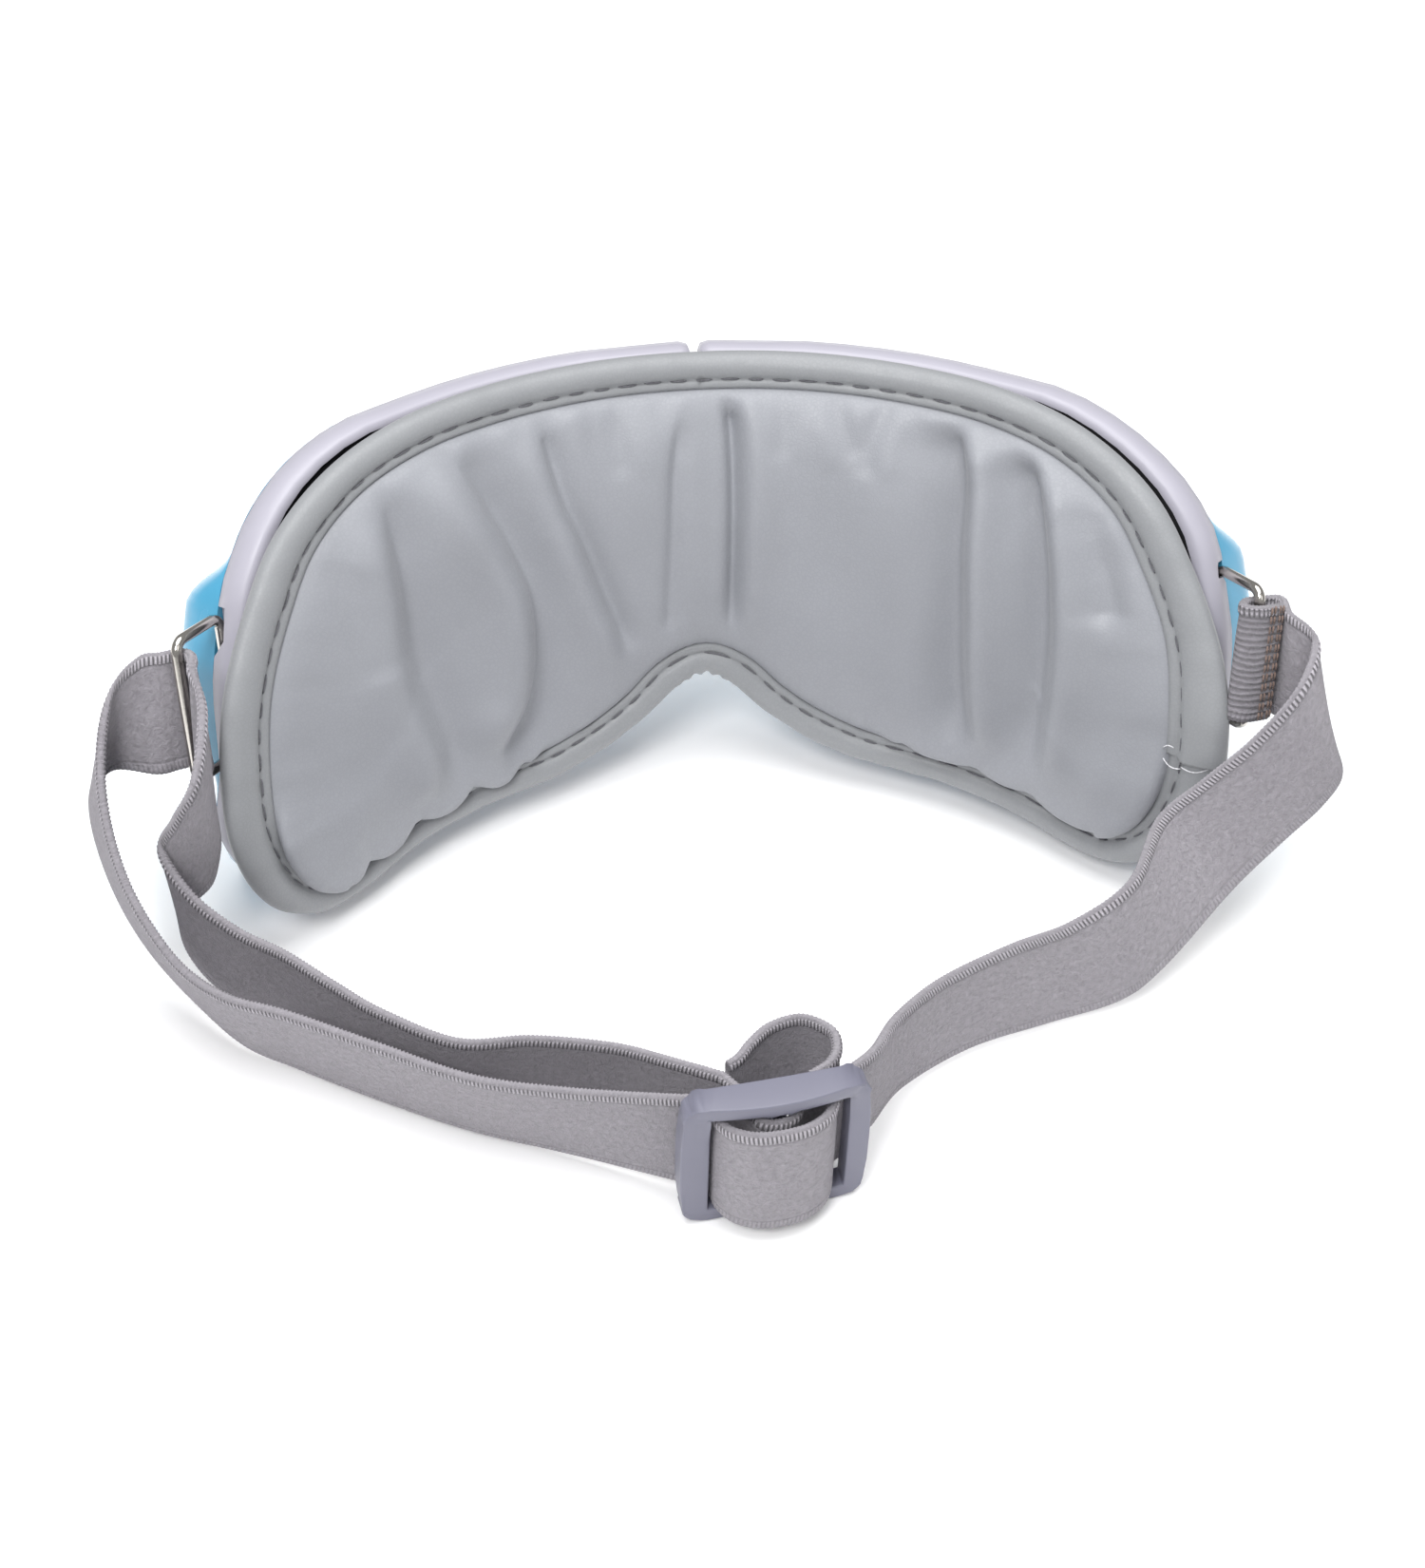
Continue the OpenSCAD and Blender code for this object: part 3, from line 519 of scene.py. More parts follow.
def dome(side):
    """Front cover of one half: the CAD source's dome, with finer rings."""
    tuck = TUCK if side < 0 else 0.0
    lo, li = shell_loop(-.6, 6.4, tuck), shell_loop(-2.6, 8.4, tuck)
    w = sstep(70, 95, lo[:, 0]) * sstep(32, 17, lo[:, 1]) * sstep(-24, -8, lo[:, 1])
    v = sstep(-12, -34, lo[:, 1]) * sstep(24, 44, lo[:, 0]) * sstep(98, 88, lo[:, 0])
    k, e = lerp(lerp(2, 6, w), 8, v), lerp(lerp(.95, .24, w), .2, v)
    radii = [1, .9985, .995, .99, .98, .965, .945, .92, .885, .84, .785, .72, .64, .55, .45, .34, .22, .1]

    def ring(l, r, rise, d):
        q = MID + (l - MID) * r
        q[:, 1] -= 7.5 * sstep(-24, -38, l[:, 1]) * sstep(44, 58, l[:, 0]) * sstep(93, 83, l[:, 0]) * float(sstep(1, .95, r) * sstep(.4, .85, r))
        up = rise * np.power(np.maximum(1 - r ** k, 0), e)
        wide = 11 * float(sstep(.95, .6, r))       # evens the slopes out round the dome, away from its edge
        if wide > .3:
            o = np.arange(-45, 46)
            kern = np.exp(-.5 * (o / wide) ** 2)
            up = sum(g * np.roll(up, int(i)) for g, i in zip(kern / kern.sum(), o))
        return stand(surf(q[:, 0], q[:, 1], 8.3 + up), d)

    rings = [ring(li, r, 15, 2.3) for r in radii[::-1]] + [ring(lo, r, 17, .1) for r in radii]
    n, m = len(rings), len(lo)
    v = np.vstack(rings + [surf(MID[0], MID[1], 23.3)[None], surf(MID[0], MID[1], 25.3)[None]])
    f = grid_faces(n, m) + [(n * m, (j + 1) % m, j) for j in range(m)] + [(n * m + 1, (n - 1) * m + j, (n - 1) * m + (j + 1) % m) for j in range(m)]
    v = v * [side, 1, 1]
    name = ("right" if side > 0 else "left") + "_dome"
    ob = piece(name, W(v), f, M["blue"])
    outward(ob)
    return ob


def lathe(at_x, at_z, profile, seg=64):
    """A turned shape on the wrap: profile is (radius, height over the wrap)."""
    s = gsl(at_x)
    q = math.sqrt(1 + s * s)
    tx, nrm = np.array([1 / q, s / q, 0]), np.array([-s / q, 1 / q, 0])
    o = np.array([at_x, gx(at_x), at_z])
    a = np.arange(seg) * 2 * math.pi / seg
    rows = [o + h * nrm + r * (np.cos(a)[:, None] * tx + np.sin(a)[:, None] * np.array([0, 0, 1.0])) for r, h in profile]
    n = len(rows)
    f = grid_faces(n, seg) + [tuple(range(seg))[::-1], tuple(range((n - 1) * seg, n * seg))]
    return np.vstack(rows), f


def cut(ob, cutter_v, cutter_f):
    c = piece("cutter", W(cutter_v), cutter_f, M["blue"])
    outward(c)
    md = ob.modifiers.new("cut", "BOOLEAN")
    md.operation, md.solver, md.object = "DIFFERENCE", "EXACT", c
    dg = bpy.context.evaluated_depsgraph_get()
    new = bpy.data.meshes.new_from_object(ob.evaluated_get(dg))
    ob.modifiers.clear()
    old = ob.data
    ob.data = new
    bpy.data.meshes.remove(old)
    bpy.data.objects.remove(c)


for side, body, node in ((-1, "left_half", "left_front_cover"), (1, "right_half", "right_front_cover")):
    d = dome(side)
    if side > 0:
        cut(d, *lathe(MID[0], MID[1], [(6.15, 18), (6.15, 23.6), (6.45, 25.1), (7.4, 25.9), (7.4, 30)]))
        cut(d, *lathe(MID[0], MID[1] + 13, [(1.3, 14), (1.3, 30)], 24))
    sharpen(d.data, 42)
    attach(d, body)
    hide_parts(node)

v, f = lathe(MID[0], MID[1], [(1.8, 8.9), (1.8, 20.6), (6.9, 20.6), (7.0, 20.8), (7.0, 21.5), (6.9, 21.7), (6.0, 21.7), (6.0, 25.6), (5.93, 26.0), (5.7, 26.3), (5.3, 26.45), (4.6, 26.42), (3.4, 26.2), (1.8, 26.02), (.4, 26.0)])
button = piece("button_cap", W(v), f, M["button"])
outward(button)
sharpen(button.data, 50)
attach(button, "power_button")
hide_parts("power_button")
v, f = lathe(MID[0], MID[1] + 13, [(1.2, 18), (1.2, 23.9), (1.12, 24.3), (.85, 24.6), (.45, 24.75), (.1, 24.8)], 32)
lens = piece("light_lens", W(v), f, M["lens"])
outward(lens)
sharpen(lens.data, 50)
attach(lens, "right_half")
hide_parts("indicator_light")

# the back plates get the near-black plastic that paints the shade in the gaps behind the pad; the other inner parts get
# their own colours
for node, key in {"left_back_plate": "shade_black", "right_back_plate": "shade_black", "left_air_bag": "bag", "right_air_bag": "bag", "left_heating_film": "film",
                  "right_heating_film": "film", "left_screws": "steel", "right_screws": "steel", "left_ring_clip": "shell", "right_ring_clip": "shell",
                  "hinge_pin": "steel", "battery": "cell", "air_pump": "pump", "air_valve": "hose", "main_board": "board", "left_motor": "steel",
                  "right_motor": "steel", "left_motor_weight": "brass", "right_motor_weight": "brass", "charging_port": "steel",
                  "right_air_hose": "hose"}.items():
    me = nodes[node].data
    me.materials.clear()
    me.materials.append(M[key])

# the hose across the bridge bends with the hinge
hose = skin_of("left_air_hose", "bridge_hose", M["hose"], 60, cuts=np.arange(-.012, .0171, .0015))
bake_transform(hose, "left_half", "right_half", start=tuple(W([-10, 0, 0])), end=tuple(W([10, 0, 0])))

# ---------------------------------------------------------------- slider
SL_C, SL_A = np.array([0.0, -84.0]), math.radians(7.3)


def sl(u, v, z):
    u, v, z = np.broadcast_arrays(np.asarray(u, float), np.asarray(v, float), np.asarray(z, float))
    c, s = math.cos(SL_A), math.sin(SL_A)
    return np.stack([SL_C[0] + u * c - v * s, SL_C[1] + u * s + v * c, z], -1)


def from_sl(p):
    return (sl(p[..., 0], p[..., 1], p[..., 2]) + SHIFT) / 1000


def slider_frame():
    """Moulded slider: rounded frame, two windows, bars that crown outwards over the strap."""
    us = sorted(set([-18, -12.7, -2.2, 2.2, 14, 18] + [-17, -15.5, -14.2, -10.5, -8, -5.5, -3.5, 0, 3.5, 5.5, 8, 10.5, 12.5, 15.2, 16.2, 17.1]))
    zs = [0, .7, 1.6, 2.5, 3.2, 4.6, 10, 16.7, 23.4, 28.8, 30.2, 30.9, 31.8, 32.7, 33.4]
    bm = bmesh.new()
    grid = {}

    def vert(i, j, front):
        key = (i, j, front)
        if key not in grid:
            grid[key] = bm.verts.new((us[i], -2.2 if front else 2.2, zs[j]))
        return grid[key]

    def solid(i, j):
        if not (0 <= i < len(us) - 1 and 0 <= j < len(zs) - 1):
            return False
        u, z = (us[i] + us[i + 1]) / 2, (zs[j] + zs[j + 1]) / 2
        return not (3.2 < z < 30.2 and (-12.7 < u < -2.2 or 2.2 < u < 14))

    for i in range(len(us) - 1):
        for j in range(len(zs) - 1):
            if not solid(i, j):
                continue
            a, b, c, d = (i, j), (i + 1, j), (i + 1, j + 1), (i, j + 1)
            bm.faces.new([vert(*p, True) for p in (a, b, c, d)])
            bm.faces.new([vert(*p, False) for p in (d, c, b, a)])
            for p, q, ii, jj in ((a, b, i, j - 1), (b, c, i + 1, j), (c, d, i, j + 1), (d, a, i - 1, j)):
                if not solid(ii, jj):
                    bm.faces.new([vert(*q, True), vert(*p, True), vert(*p, False), vert(*q, False)])
    bmesh.ops.recalc_face_normals(bm, faces=bm.faces)
    for v in bm.verts:
        u, y, z = v.co
        bar = sstep(29.4, 30.4, z)
        crown = max(0, 1 - (u / 17.5) ** 2)
        if abs(u) <= 2.3 and 3.3 < z < 30.1:
            v.co.y = y * .42
        if y < 0:
            v.co.y -= 2.7 * bar * crown + .25 * (1 - bar) * (abs(u) > 10)
        else:
            v.co.y -= .35 * bar * crown
        du, dz = abs(u) - 13, 5 - min(z, 33.4 - z)
        if du > 0 and dz > 0:      # rounds the outline's corners
            k = max(du, dz) / math.hypot(du, dz)
            v.co.x = (13 + du * k) * (1 if u > 0 else -1)
            v.co.z = 5 - dz * k if z < 16 else 28.4 + dz * k
        elif abs(abs(u) - 18) < .01:
            v.co.x += .5 * (1 - ((z - 16.7) / 16.7) ** 2) * (1 if u > 0 else -1) - .25 * (1 if u > 0 else -1)
    hard = [e for e in bm.edges if len(e.link_faces) == 2 and e.calc_face_angle(0) > math.radians(48)]
    bmesh.ops.bevel(bm, geom=hard, offset=.75, segments=3, profile=.6, affect="EDGES", clamp_overlap=True)
    me = bpy.data.meshes.new("slider_frame")
    co = from_sl(np.array([v.co for v in bm.verts]))
    for v, p in zip(bm.verts, co):
        v.co = p
    bmesh.ops.recalc_face_normals(bm, faces=bm.faces)
    bm.to_mesh(me)
    bm.free()
    me.materials.append(M["slider"])
    ob = bpy.data.objects.new("slider_frame", me)
    scene.collection.objects.link(ob)
    sharpen(me, 60)
    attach(ob, "slider")
    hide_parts("slider")
    return ob


slider_frame()

# ---------------------------------------------------------------- pad outline
FULL = np.vstack([EDGE, EDGE[1:-1][::-1] * [-1, 1]])
dense = catmull(FULL, 40, True)
seg = np.linalg.norm(np.roll(dense, -1, 0) - dense, axis=1)
along = np.concatenate([[0], np.cumsum(seg)])
PERIM = along[-1]
ring_pts = np.vstack([dense, dense[:1]])


def on_edge(s):
    s = np.asarray(s, float) % PERIM
    return np.stack([np.interp(s, along, ring_pts[:, k]) for k in (0, 1)], -1)


def edge_frame(s):
    p = on_edge(s)
    d = on_edge(np.asarray(s) + 1.2) - on_edge(np.asarray(s) - 1.2)
    d /= np.linalg.norm(d, axis=1)[:, None]
    return p, np.stack([-d[:, 1], d[:, 0]], -1)


def arc_of(x, z):
    """Arc position on the outline nearest a point."""
    return along[np.argmin(((dense - [x, z]) ** 2).sum(1))]


# ---------------------------------------------------------------- binding
S_CUT = arc_of(101.8, -20.5)      # lapped cut end on the right
S_NOSE = arc_of(0, -15)
base_s = np.arange(0, PERIM, PERIM / round(PERIM / 1.15))
extra = np.arange(S_CUT - 2.5, S_CUT + 2.5, .28)
nose_s = np.arange(S_NOSE - 9, S_NOSE + 9, .5)
bs = np.unique(np.round(np.concatenate([base_s[(np.abs(base_s - S_CUT) > 2.6) & (np.abs(base_s - S_NOSE) > 9.1)], extra, nose_s]), 4))
SECTION = np.array([(-6.4, -1.6), (-4.6, -1.15), (-2.6, -1.05), (-1.1, -1.35), (-.3, -2.2), (0.02, -3.4), (-.28, -4.6), (-1.05, -5.6), (-2.2, -6.25), (-3.3, -6.42),
                    (-4.3, -6.25), (-5.05, -5.9), (-5.5, -5.42), (-5.95, -5.75), (-6.6, -5.85), (-7.2, -5.7), (-7.5, -5.3), (-7.45, -4.7), (-7.0, -4.2), (-6.6, -3.0)], float)
SIDE_STITCH, STITCH_GAP = 12, 5.7
bp, bn = edge_frame(bs)
n_b, m_b = len(bs), len(SECTION)
dd = np.repeat(SECTION[None, :, 0], n_b, 0)
hh = np.repeat(SECTION[None, :, 1], n_b, 0)
# pulled in between the stitches, softly uneven tape
pull = .5 + .5 * np.cos(2 * math.pi * (bs - 1.0) / STITCH_GAP)
for j, k in ((11, .10), (12, .26), (13, .14)):
    hh[:, j] -= -k * (.4 + .6 * pull)
slow = np.zeros(n_b)
for w, a in ((37.0, .12), (19.0, .08), (11.3, .06), (7.1, .04)):
    slow += a * np.sin(2 * math.pi * bs / PERIM * round(PERIM / w) + rng.uniform(0, 6.28))
for j in range(5, 12):
    hh[:, j] -= slow * .8
    dd[:, j] += slow * .35 * (j < 8)
# gathers where the tape turns round the nose
near = np.exp(-((bs - S_NOSE) / 4.6) ** 2)
gather_w = np.sin(2 * math.pi * (bs - S_NOSE) / 2.7)
for j, k in ((3, .25), (4, .45), (5, .55), (6, .5), (7, .4), (8, .3), (9, .2)):
    dd[:, j] += near * (gather_w - .2) * k
    hh[:, j] += near * gather_w * k * .4
# the tape's end laps over its start and is cut off square
wob = np.array([0, 0, .1, .2, .3, .3, .1, -.2, -.1, .2, .4, .3, 0, -.4, -.6, -.5, -.3, -.1, 0, 0])
for j in range(m_b):
    lap = sstep(S_CUT - 34, S_CUT - 8, bs) * (bs < S_CUT + wob[j])
    if 3 <= j <= 16:
        cd, ch = SECTION[j, 0] + 3.4, SECTION[j, 1] + 3.6
        r = math.hypot(cd, ch)
        dd[:, j] += lap * .62 * cd / r
        hh[:, j] += lap * .62 * ch / r
P2 = bp[:, None, :] + dd[..., None] * bn[:, None, :]
bv = surf(P2[..., 0], P2[..., 1], hh).reshape(-1, 3)
bf = grid_faces(n_b, m_b, closed_n=True, flip=True)
binding = piece("edge_binding", W(bv), bf, M["binding"])
outward(binding)
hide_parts("left_binding", "right_binding")

# stitches in the groove; their dark grey thread is partly the thread's own colour, partly painted shade of the pinched
# stitch holes
parts = []
k = 0
s = 1.0
while s < PERIM - 2:
    L = 3.7 + .5 * rng.uniform(-1, 1)
    q = np.linspace(s - L / 2, s + L / 2, 7)
    p, nn = edge_frame(q)
    arch = np.linspace(-1, 1, 7)
    off = -5.52 + .10 * math.sin(k * 1.7)
    lap = .5 * sstep(S_CUT - 34, S_CUT - 8, s) * (s < S_CUT)
    h = -5.44 - lap - .24 * (1 - arch ** 4)
    pp = p + off * nn
    parts.append(tube(W(surf(pp[:, 0], pp[:, 1], h)), .00019, 6))
    s += PERIM / round(PERIM / STITCH_GAP)
    k += 1
v, f = gather(parts)
stitches = piece("binding_stitches", v, f, M["stitch"])

# ---------------------------------------------------------------- pad
LOOPS = [(6.5, 1.15), (7.1, 1.15), (7.5, 1.15), (8.0, 1.15), (8.7, 1.2), (9.6, 1.25), (10.7, 1.3), (12.0, 1.35)]
pts, outer_n = [], 0
for d, step in LOOPS:
    q = np.arange(0, PERIM, PERIM / round(PERIM / step))
    p, nn = edge_frame(q + .37 * d)
    pts.append(p - d * nn)
    if not outer_n:
        outer_n = len(q)
hexa = []
step = 1.3
for r, z in enumerate(np.arange(-56, 58, step * .866)):
    xs = np.arange(-104, 104, step) + (step / 2 if r % 2 else 0)
    hexa.append(np.stack([xs, np.full(len(xs), z)], -1))
hexa = np.vstack(hexa)


def to_edge(q):
    """Distance inside the outline, and arc position of the nearest point of it; negative outside."""
    best, arc, inside = np.empty(len(q)), np.empty(len(q)), np.zeros(len(q), bool)
    d2 = dense[::2]
    a2 = along[:-1][::2]
    for i in range(0, len(q), 2000):
        c = ((q[i:i + 2000, None, :] - d2[None]) ** 2).sum(-1)
        k = c.argmin(1)
        best[i:i + 2000], arc[i:i + 2000] = np.sqrt(c[np.arange(len(k)), k]), a2[k]
    x, z = q[:, 0], q[:, 1]
    p, r = dense, np.roll(dense, -1, 0)
    for (x0, z0), (x1, z1) in zip(p, r):
        m = ((z0 > z) != (z1 > z))
        with np.errstate(divide="ignore", invalid="ignore"):
            inside ^= m & (x < (x1 - x0) * (z - z0) / (z1 - z0 if z1 != z0 else 1e-12) + x0)
    return np.where(inside, best, -best), arc


# folds drawn from the puckers of the real pad: line in mask x, z; depth; width left and right of the crease; ridge height, its offset (+ is to the right) and width
FOLDS = [
    ([(-35.9, 46), (-32.1, 30), (-27.9, 19.5), (-23, 7), (-17.1, -7.6)], 2.3, 1.2, 3.4, 1.8, -5.0, 3.6),
    ([(-57, 46), (-48.4, 29.7), (-43.6, 19.6), (-40.0, 9.6), (-38.9, -2.1), (-39.8, -12.2), (-42.7, -19), (-48.6, -27)], 2.9, 1.4, 5.8, 3.1, -6.5, 4.6),
    ([(-70.5, 38), (-68.2, 24.6), (-66.7, 14.4), (-65.8, 4.1), (-63.5, -6.7), (-59.8, -18.8), (-57.8, -30)], 2.9, 2.0, 5.6, 2.8, -7.5, 5.0),
    ([(-82.9, 34.2), (-79.5, 25.1), (-76.3, 11.9), (-75, 0)], 1.1, 2.4, 4.0, .4, -6, 4),
    ([(4.9, 48), (6.3, 41.9), (6.8, 30.6), (6.6, 15.9), (5.9, -4.4)], 3.0, 1.0, 2.2, .8, 5.5, 4.0),
    ([(-4.7, 44.4), (-6.7, 32.2), (-7.4, 19.7), (-8.1, 7.1), (-8.5, -3.6)], 1.3, 1.2, 2.6, .3, -5, 4),
    ([(53, 47), (56.0, 33), (55.8, 18.4), (55.9, 3.6), (56, -11.7), (57.6, -28)], 3.9, 6.4, 1.3, 3.3, 4.8, 3.4),
    ([(67.5, 41), (69.6, 32.9), (71.5, 22.7), (72.6, 10.5), (72.8, -.5), (72.0, -15.7), (70.5, -32)], 4.1, 5.8, 1.4, 3.3, 4.8, 3.6),
    ([(80.7, 31), (84.2, 18.1), (85.3, 6)], 2.0, 4.6, 2.0, 1.0, 5, 3.4),
    ([(28, 48.5), (30.9, 42), (34, 35)], .9, 1.3, 2.6, .4, -4, 3),
    ([(39, 46), (37.1, 38.2), (36.5, 32)], .8, 2.4, 1.3, .4, 4, 3),
    ([(17, 49), (18, 42), (17.5, 35)], .6, 1.4, 2.6, .3, 4, 3),
    ([(-21, 47), (-19.5, 40), (-19, 33)], .6, 1.4, 2.6, .2, 4, 3),
]

dist, _ = to_edge(hexa)
hexa = hexa[dist > 13.0]
creases = []
for line, deep, *_ in FOLDS:
    if deep < 1:
        continue
    c = catmull(line, 40)
    run = np.concatenate([[0], np.cumsum(np.linalg.norm(np.diff(c, axis=0), axis=1))])
    q = np.arange(0, run[-1], .8)
    c = np.stack([np.interp(q, run, c[:, k]) for k in (0, 1)], -1)
    d = np.gradient(c, axis=0)
    nn = np.stack([d[:, 1], -d[:, 0]], -1) / np.linalg.norm(d, axis=1)[:, None]
    for o in (-1.9, -1.3, -.8, -.4, 0, .4, .8, 1.3, 1.9):
        creases.append(c + o * nn)
    hexa = hexa[((hexa[:, None, :] - c[None]) ** 2).sum(-1).min(1) > 2.5 ** 2]
creases = np.vstack(creases)
creases = creases[to_edge(creases)[0] > 12.6]
pts += [hexa, creases]
flat = np.vstack(pts)
loop_edges = [(i, (i + 1) % outer_n) for i in range(outer_n)]
out = delaunay_2d_cdt([Vector(p) for p in flat], loop_edges, [], 1, 1e-6)
co2 = np.array([tuple(p) for p in out[0]])
tri = [tuple(t) for t in out[2]]
src = out[3]
dist, arc = to_edge(co2)

def fold_field(q):
    """Height over the smooth pad, positive towards the wearer."""
    total = np.zeros(len(q))
    for line, deep, left, right, ridge, where, rwide in FOLDS:
        p = catmull(line, 10)
        a, b = p[:-1], p[1:]
        d = b - a
        t = np.clip(((q[:, None, :] - a[None]) * d[None]).sum(-1) / (d * d).sum(-1)[None], 0, 1)
        near = a[None] + t[..., None] * d[None]
        r2 = ((q[:, None, :] - near) ** 2).sum(-1)
        k = r2.argmin(1)
        i = np.arange(len(q))
        r = np.sqrt(r2[i, k])
        rel = q - near[i, k]
        side = np.sign(-(d[k, 0] * rel[:, 1] - d[k, 1] * rel[:, 0]))   # going down the line, left of travel is +x
        signed = r * -side
        s = (k + t[i, k]) / len(a)
        fade = sstep(-.02, .16, s) * sstep(1.02, .86, s)
        fade2 = np.clip(fade, 0, 1)
        loose = 1 + (2.2 if line[0][0] > 50 or line[0][0] < -60 else .6) * s        # crisp at the top, softer further down
        wide = np.where(signed < 0, left * (loose if left < right else 1), right * (loose if right < left else 1))
        total -= 1.15 * deep * fade2 * np.exp(-(r / wide) ** 2)
        total += ridge * fade2 * np.exp(-((signed - where) / rwide) ** 2)
    return total


CUSPS = [arc_of(-84.5, -51.8), arc_of(-75, -49), arc_of(-64.5, -43), arc_of(-52.7, -38.8), arc_of(-41, -36.3),
         arc_of(42, -36.5), arc_of(57.7, -40.2), arc_of(67.2, -44.3), arc_of(83, -51.6)]
x, z = co2[:, 0], co2[:, 1]
tt = dist - 7.3
low = sstep(-16, -34, on_edge(arc)[:, 1]) * (sstep(34, 46, np.abs(on_edge(arc)[:, 0])))
tight = sstep(-30, -48, on_edge(arc)[:, 1])
roll = 1.35 * (1 - np.exp(-np.maximum(tt, 0) / .8))
sig = lerp(9.5, 4.6, low)
crown = 5.7 * (1 - np.exp(-np.maximum(tt, 0) / sig))
folds = fold_field(co2)
pucker = np.zeros(len(co2))
for w, a in ((13.0, .30), (8.3, .22), (5.6, .14), (21.0, .25)):
    pucker += a * np.sin(2 * math.pi * arc / PERIM * round(PERIM / w) + rng.uniform(0, 6.28))
pucker *= np.exp(-np.maximum(tt - 1.5, 0) / 6.5) * sstep(0, 2.5, tt) * (1 - .65 * sstep(55, 80, np.abs(x)))
soft = np.zeros(len(co2))
for _ in range(14):
    a, w = rng.uniform(0, 6.28), rng.uniform(18, 46)
    soft += .11 * np.sin((x * math.cos(a) * 1.4 + z * math.sin(a) * .5) * 2 * math.pi / w + rng.uniform(0, 6.28))
inner = sstep(.5, 9, tt)
lift = roll + crown + (folds * sstep(.2, 7, tt)) + pucker + soft * inner
h = np.where(tt < 0, lerp(-4.3, -4.75, sstep(-.9, 0, tt)), -4.75 - lift)
# along the lobes' lower edge the slack pad hangs over the binding in scallops
cusp = np.array(sorted(CUSPS))
gap = np.full(len(co2), 1.0)
for a, b in zip(cusp[:-1], cusp[1:]):
    if b - a < 40:
        m = (arc >= a) & (arc <= b)
        gap[m] = np.sin(math.pi * (arc[m] - a) / (b - a)) ** .6
hang = low * gap * lerp(3.9, 2.0, sstep(-20, 20, x)) * np.exp(-((tt - 2.2) / 2.4) ** 2) * sstep(-.2, .8, tt)
_, en = edge_frame(arc)
co3 = co2 + hang[:, None] * en
h = h - low * 1.5 * np.exp(-((tt - 1.6) / 2.0) ** 2) * sstep(-.2, .8, tt) * (.35 + .65 * gap)
front = surf(co3[:, 0], co3[:, 1], h)
# smooth the folds a little over the mesh
links = np.array(sorted({tuple(sorted((t[i], t[(i + 1) % 3]))) for t in tri for i in range(3)}))
for _ in range(2):
    acc, cnt = np.zeros_like(front), np.zeros(len(front))
    np.add.at(acc, links[:, 0], front[links[:, 1]])
    np.add.at(acc, links[:, 1], front[links[:, 0]])
    np.add.at(cnt, links[:, 0], 1)
    np.add.at(cnt, links[:, 1], 1)
    free = (tt > .6)[:, None]
    front = np.where(free, front * .55 + .45 * acc / cnt[:, None], front)
rim_ids = [next(i for i, s in enumerate(src) if k in s) for k in range(outer_n)]
back2 = co2[rim_ids]
back = surf(back2[:, 0], back2[:, 1], np.full(outer_n, -2.9))
b_out = delaunay_2d_cdt([Vector(p) for p in back2], loop_edges, [], 1, 1e-6)
bsrc = {i: s[0] for i, s in enumerate(b_out[3])}
o = len(front)
pf = [t for t in tri] + [tuple(o + bsrc[i] for i in t)[::-1] for t in b_out[2]]
pf += [(rim_ids[i], rim_ids[(i + 1) % outer_n], o + (i + 1) % outer_n, o + i) for i in range(outer_n)]
pad = piece("face_pad", W(np.vstack([front, back])), pf, M["pad"])
outward(pad)


def puff(ob, free, cap):
    """Air pressure under the cover: a short cloth simulation, held along the seam, capped and applied."""
    me = ob.data
    rest = np.array([v.co for v in me.vertices])
    g = ob.vertex_groups.new(name="hold")
    for i, w in enumerate(free):
        g.add([i], float(1 - w), "REPLACE")
    md = ob.modifiers.new("cloth", "CLOTH")
    st = md.settings
    st.quality, st.mass = 6, .15
    st.tension_stiffness = st.compression_stiffness = 12
    st.shear_stiffness, st.bending_stiffness = 4, .35
    st.vertex_group_mass = "hold"
    st.pin_stiffness = .6
    st.use_pressure, st.uniform_pressure_force = True, 4
    st.shrink_min = -.02
    st.effector_weights.gravity = 0
    md.collision_settings.use_collision = False
    md.point_cache.frame_start, md.point_cache.frame_end = 1, 20
    for fr in range(1, 21):
        scene.frame_set(fr)
    dg = bpy.context.evaluated_depsgraph_get()
    e = ob.evaluated_get(dg)
    co = np.array([v.co for v in e.data.vertices])
    ob.modifiers.remove(md)
    ob.vertex_groups.remove(g)
    scene.frame_set(1)
    move = co - rest
    size = np.linalg.norm(move, axis=1)
    scale = np.where(size > 1e-9, np.minimum(1, cap / np.maximum(size, 1e-9)), 0)
    me.vertices.foreach_set("co", (rest + move * scale[:, None]).astype(np.float32).ravel())
    me.update()


hold = np.concatenate([sstep(1.0, 4.5, tt) * np.clip(1 - np.maximum(-folds, 0) * .3, .15, 1), np.zeros(outer_n)])
puff(pad, hold, .0018)

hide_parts("left_pad", "right_pad")
for ob in (pad, binding, stitches):
    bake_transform(ob, "left_half", "right_half", start=tuple(W([-14, 0, 15])), end=tuple(W([14, 0, 15])))

# loose threads at the cut end of the tape
threads = []
for (x0, z0, h0), (x1, z1, h1), bow in (((93.9, -20.0, -6.2), (97.5, -21.9, -6.6), -1.0), ((97.6, -21.4, -6.7), (101.6, -20.6, -5.4), -.9), ((94.3, -18.6, -6.3), (96.4, -17.6, -6.9), .7)):
    q = np.linspace(0, 1, 9)
    line = surf(lerp(x0, x1, q), lerp(z0, z1, q) + bow * np.sin(math.pi * q), lerp(h0, h1, q) - .3 * np.sin(math.pi * q))
    threads.append(tube(W(line), .00013, 6))
v, f = gather(threads)
fray = piece("loose_threads", v, f, M["fray"])
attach(fray, "right_half")

# ---------------------------------------------------------------- strap
RING_POS, RING_TILT, REACH = np.array([100.3, -42.3, 3.0]), math.radians(4), 14.5
RING_DIR = {1: math.radians(-69), -1: math.radians(-57)}


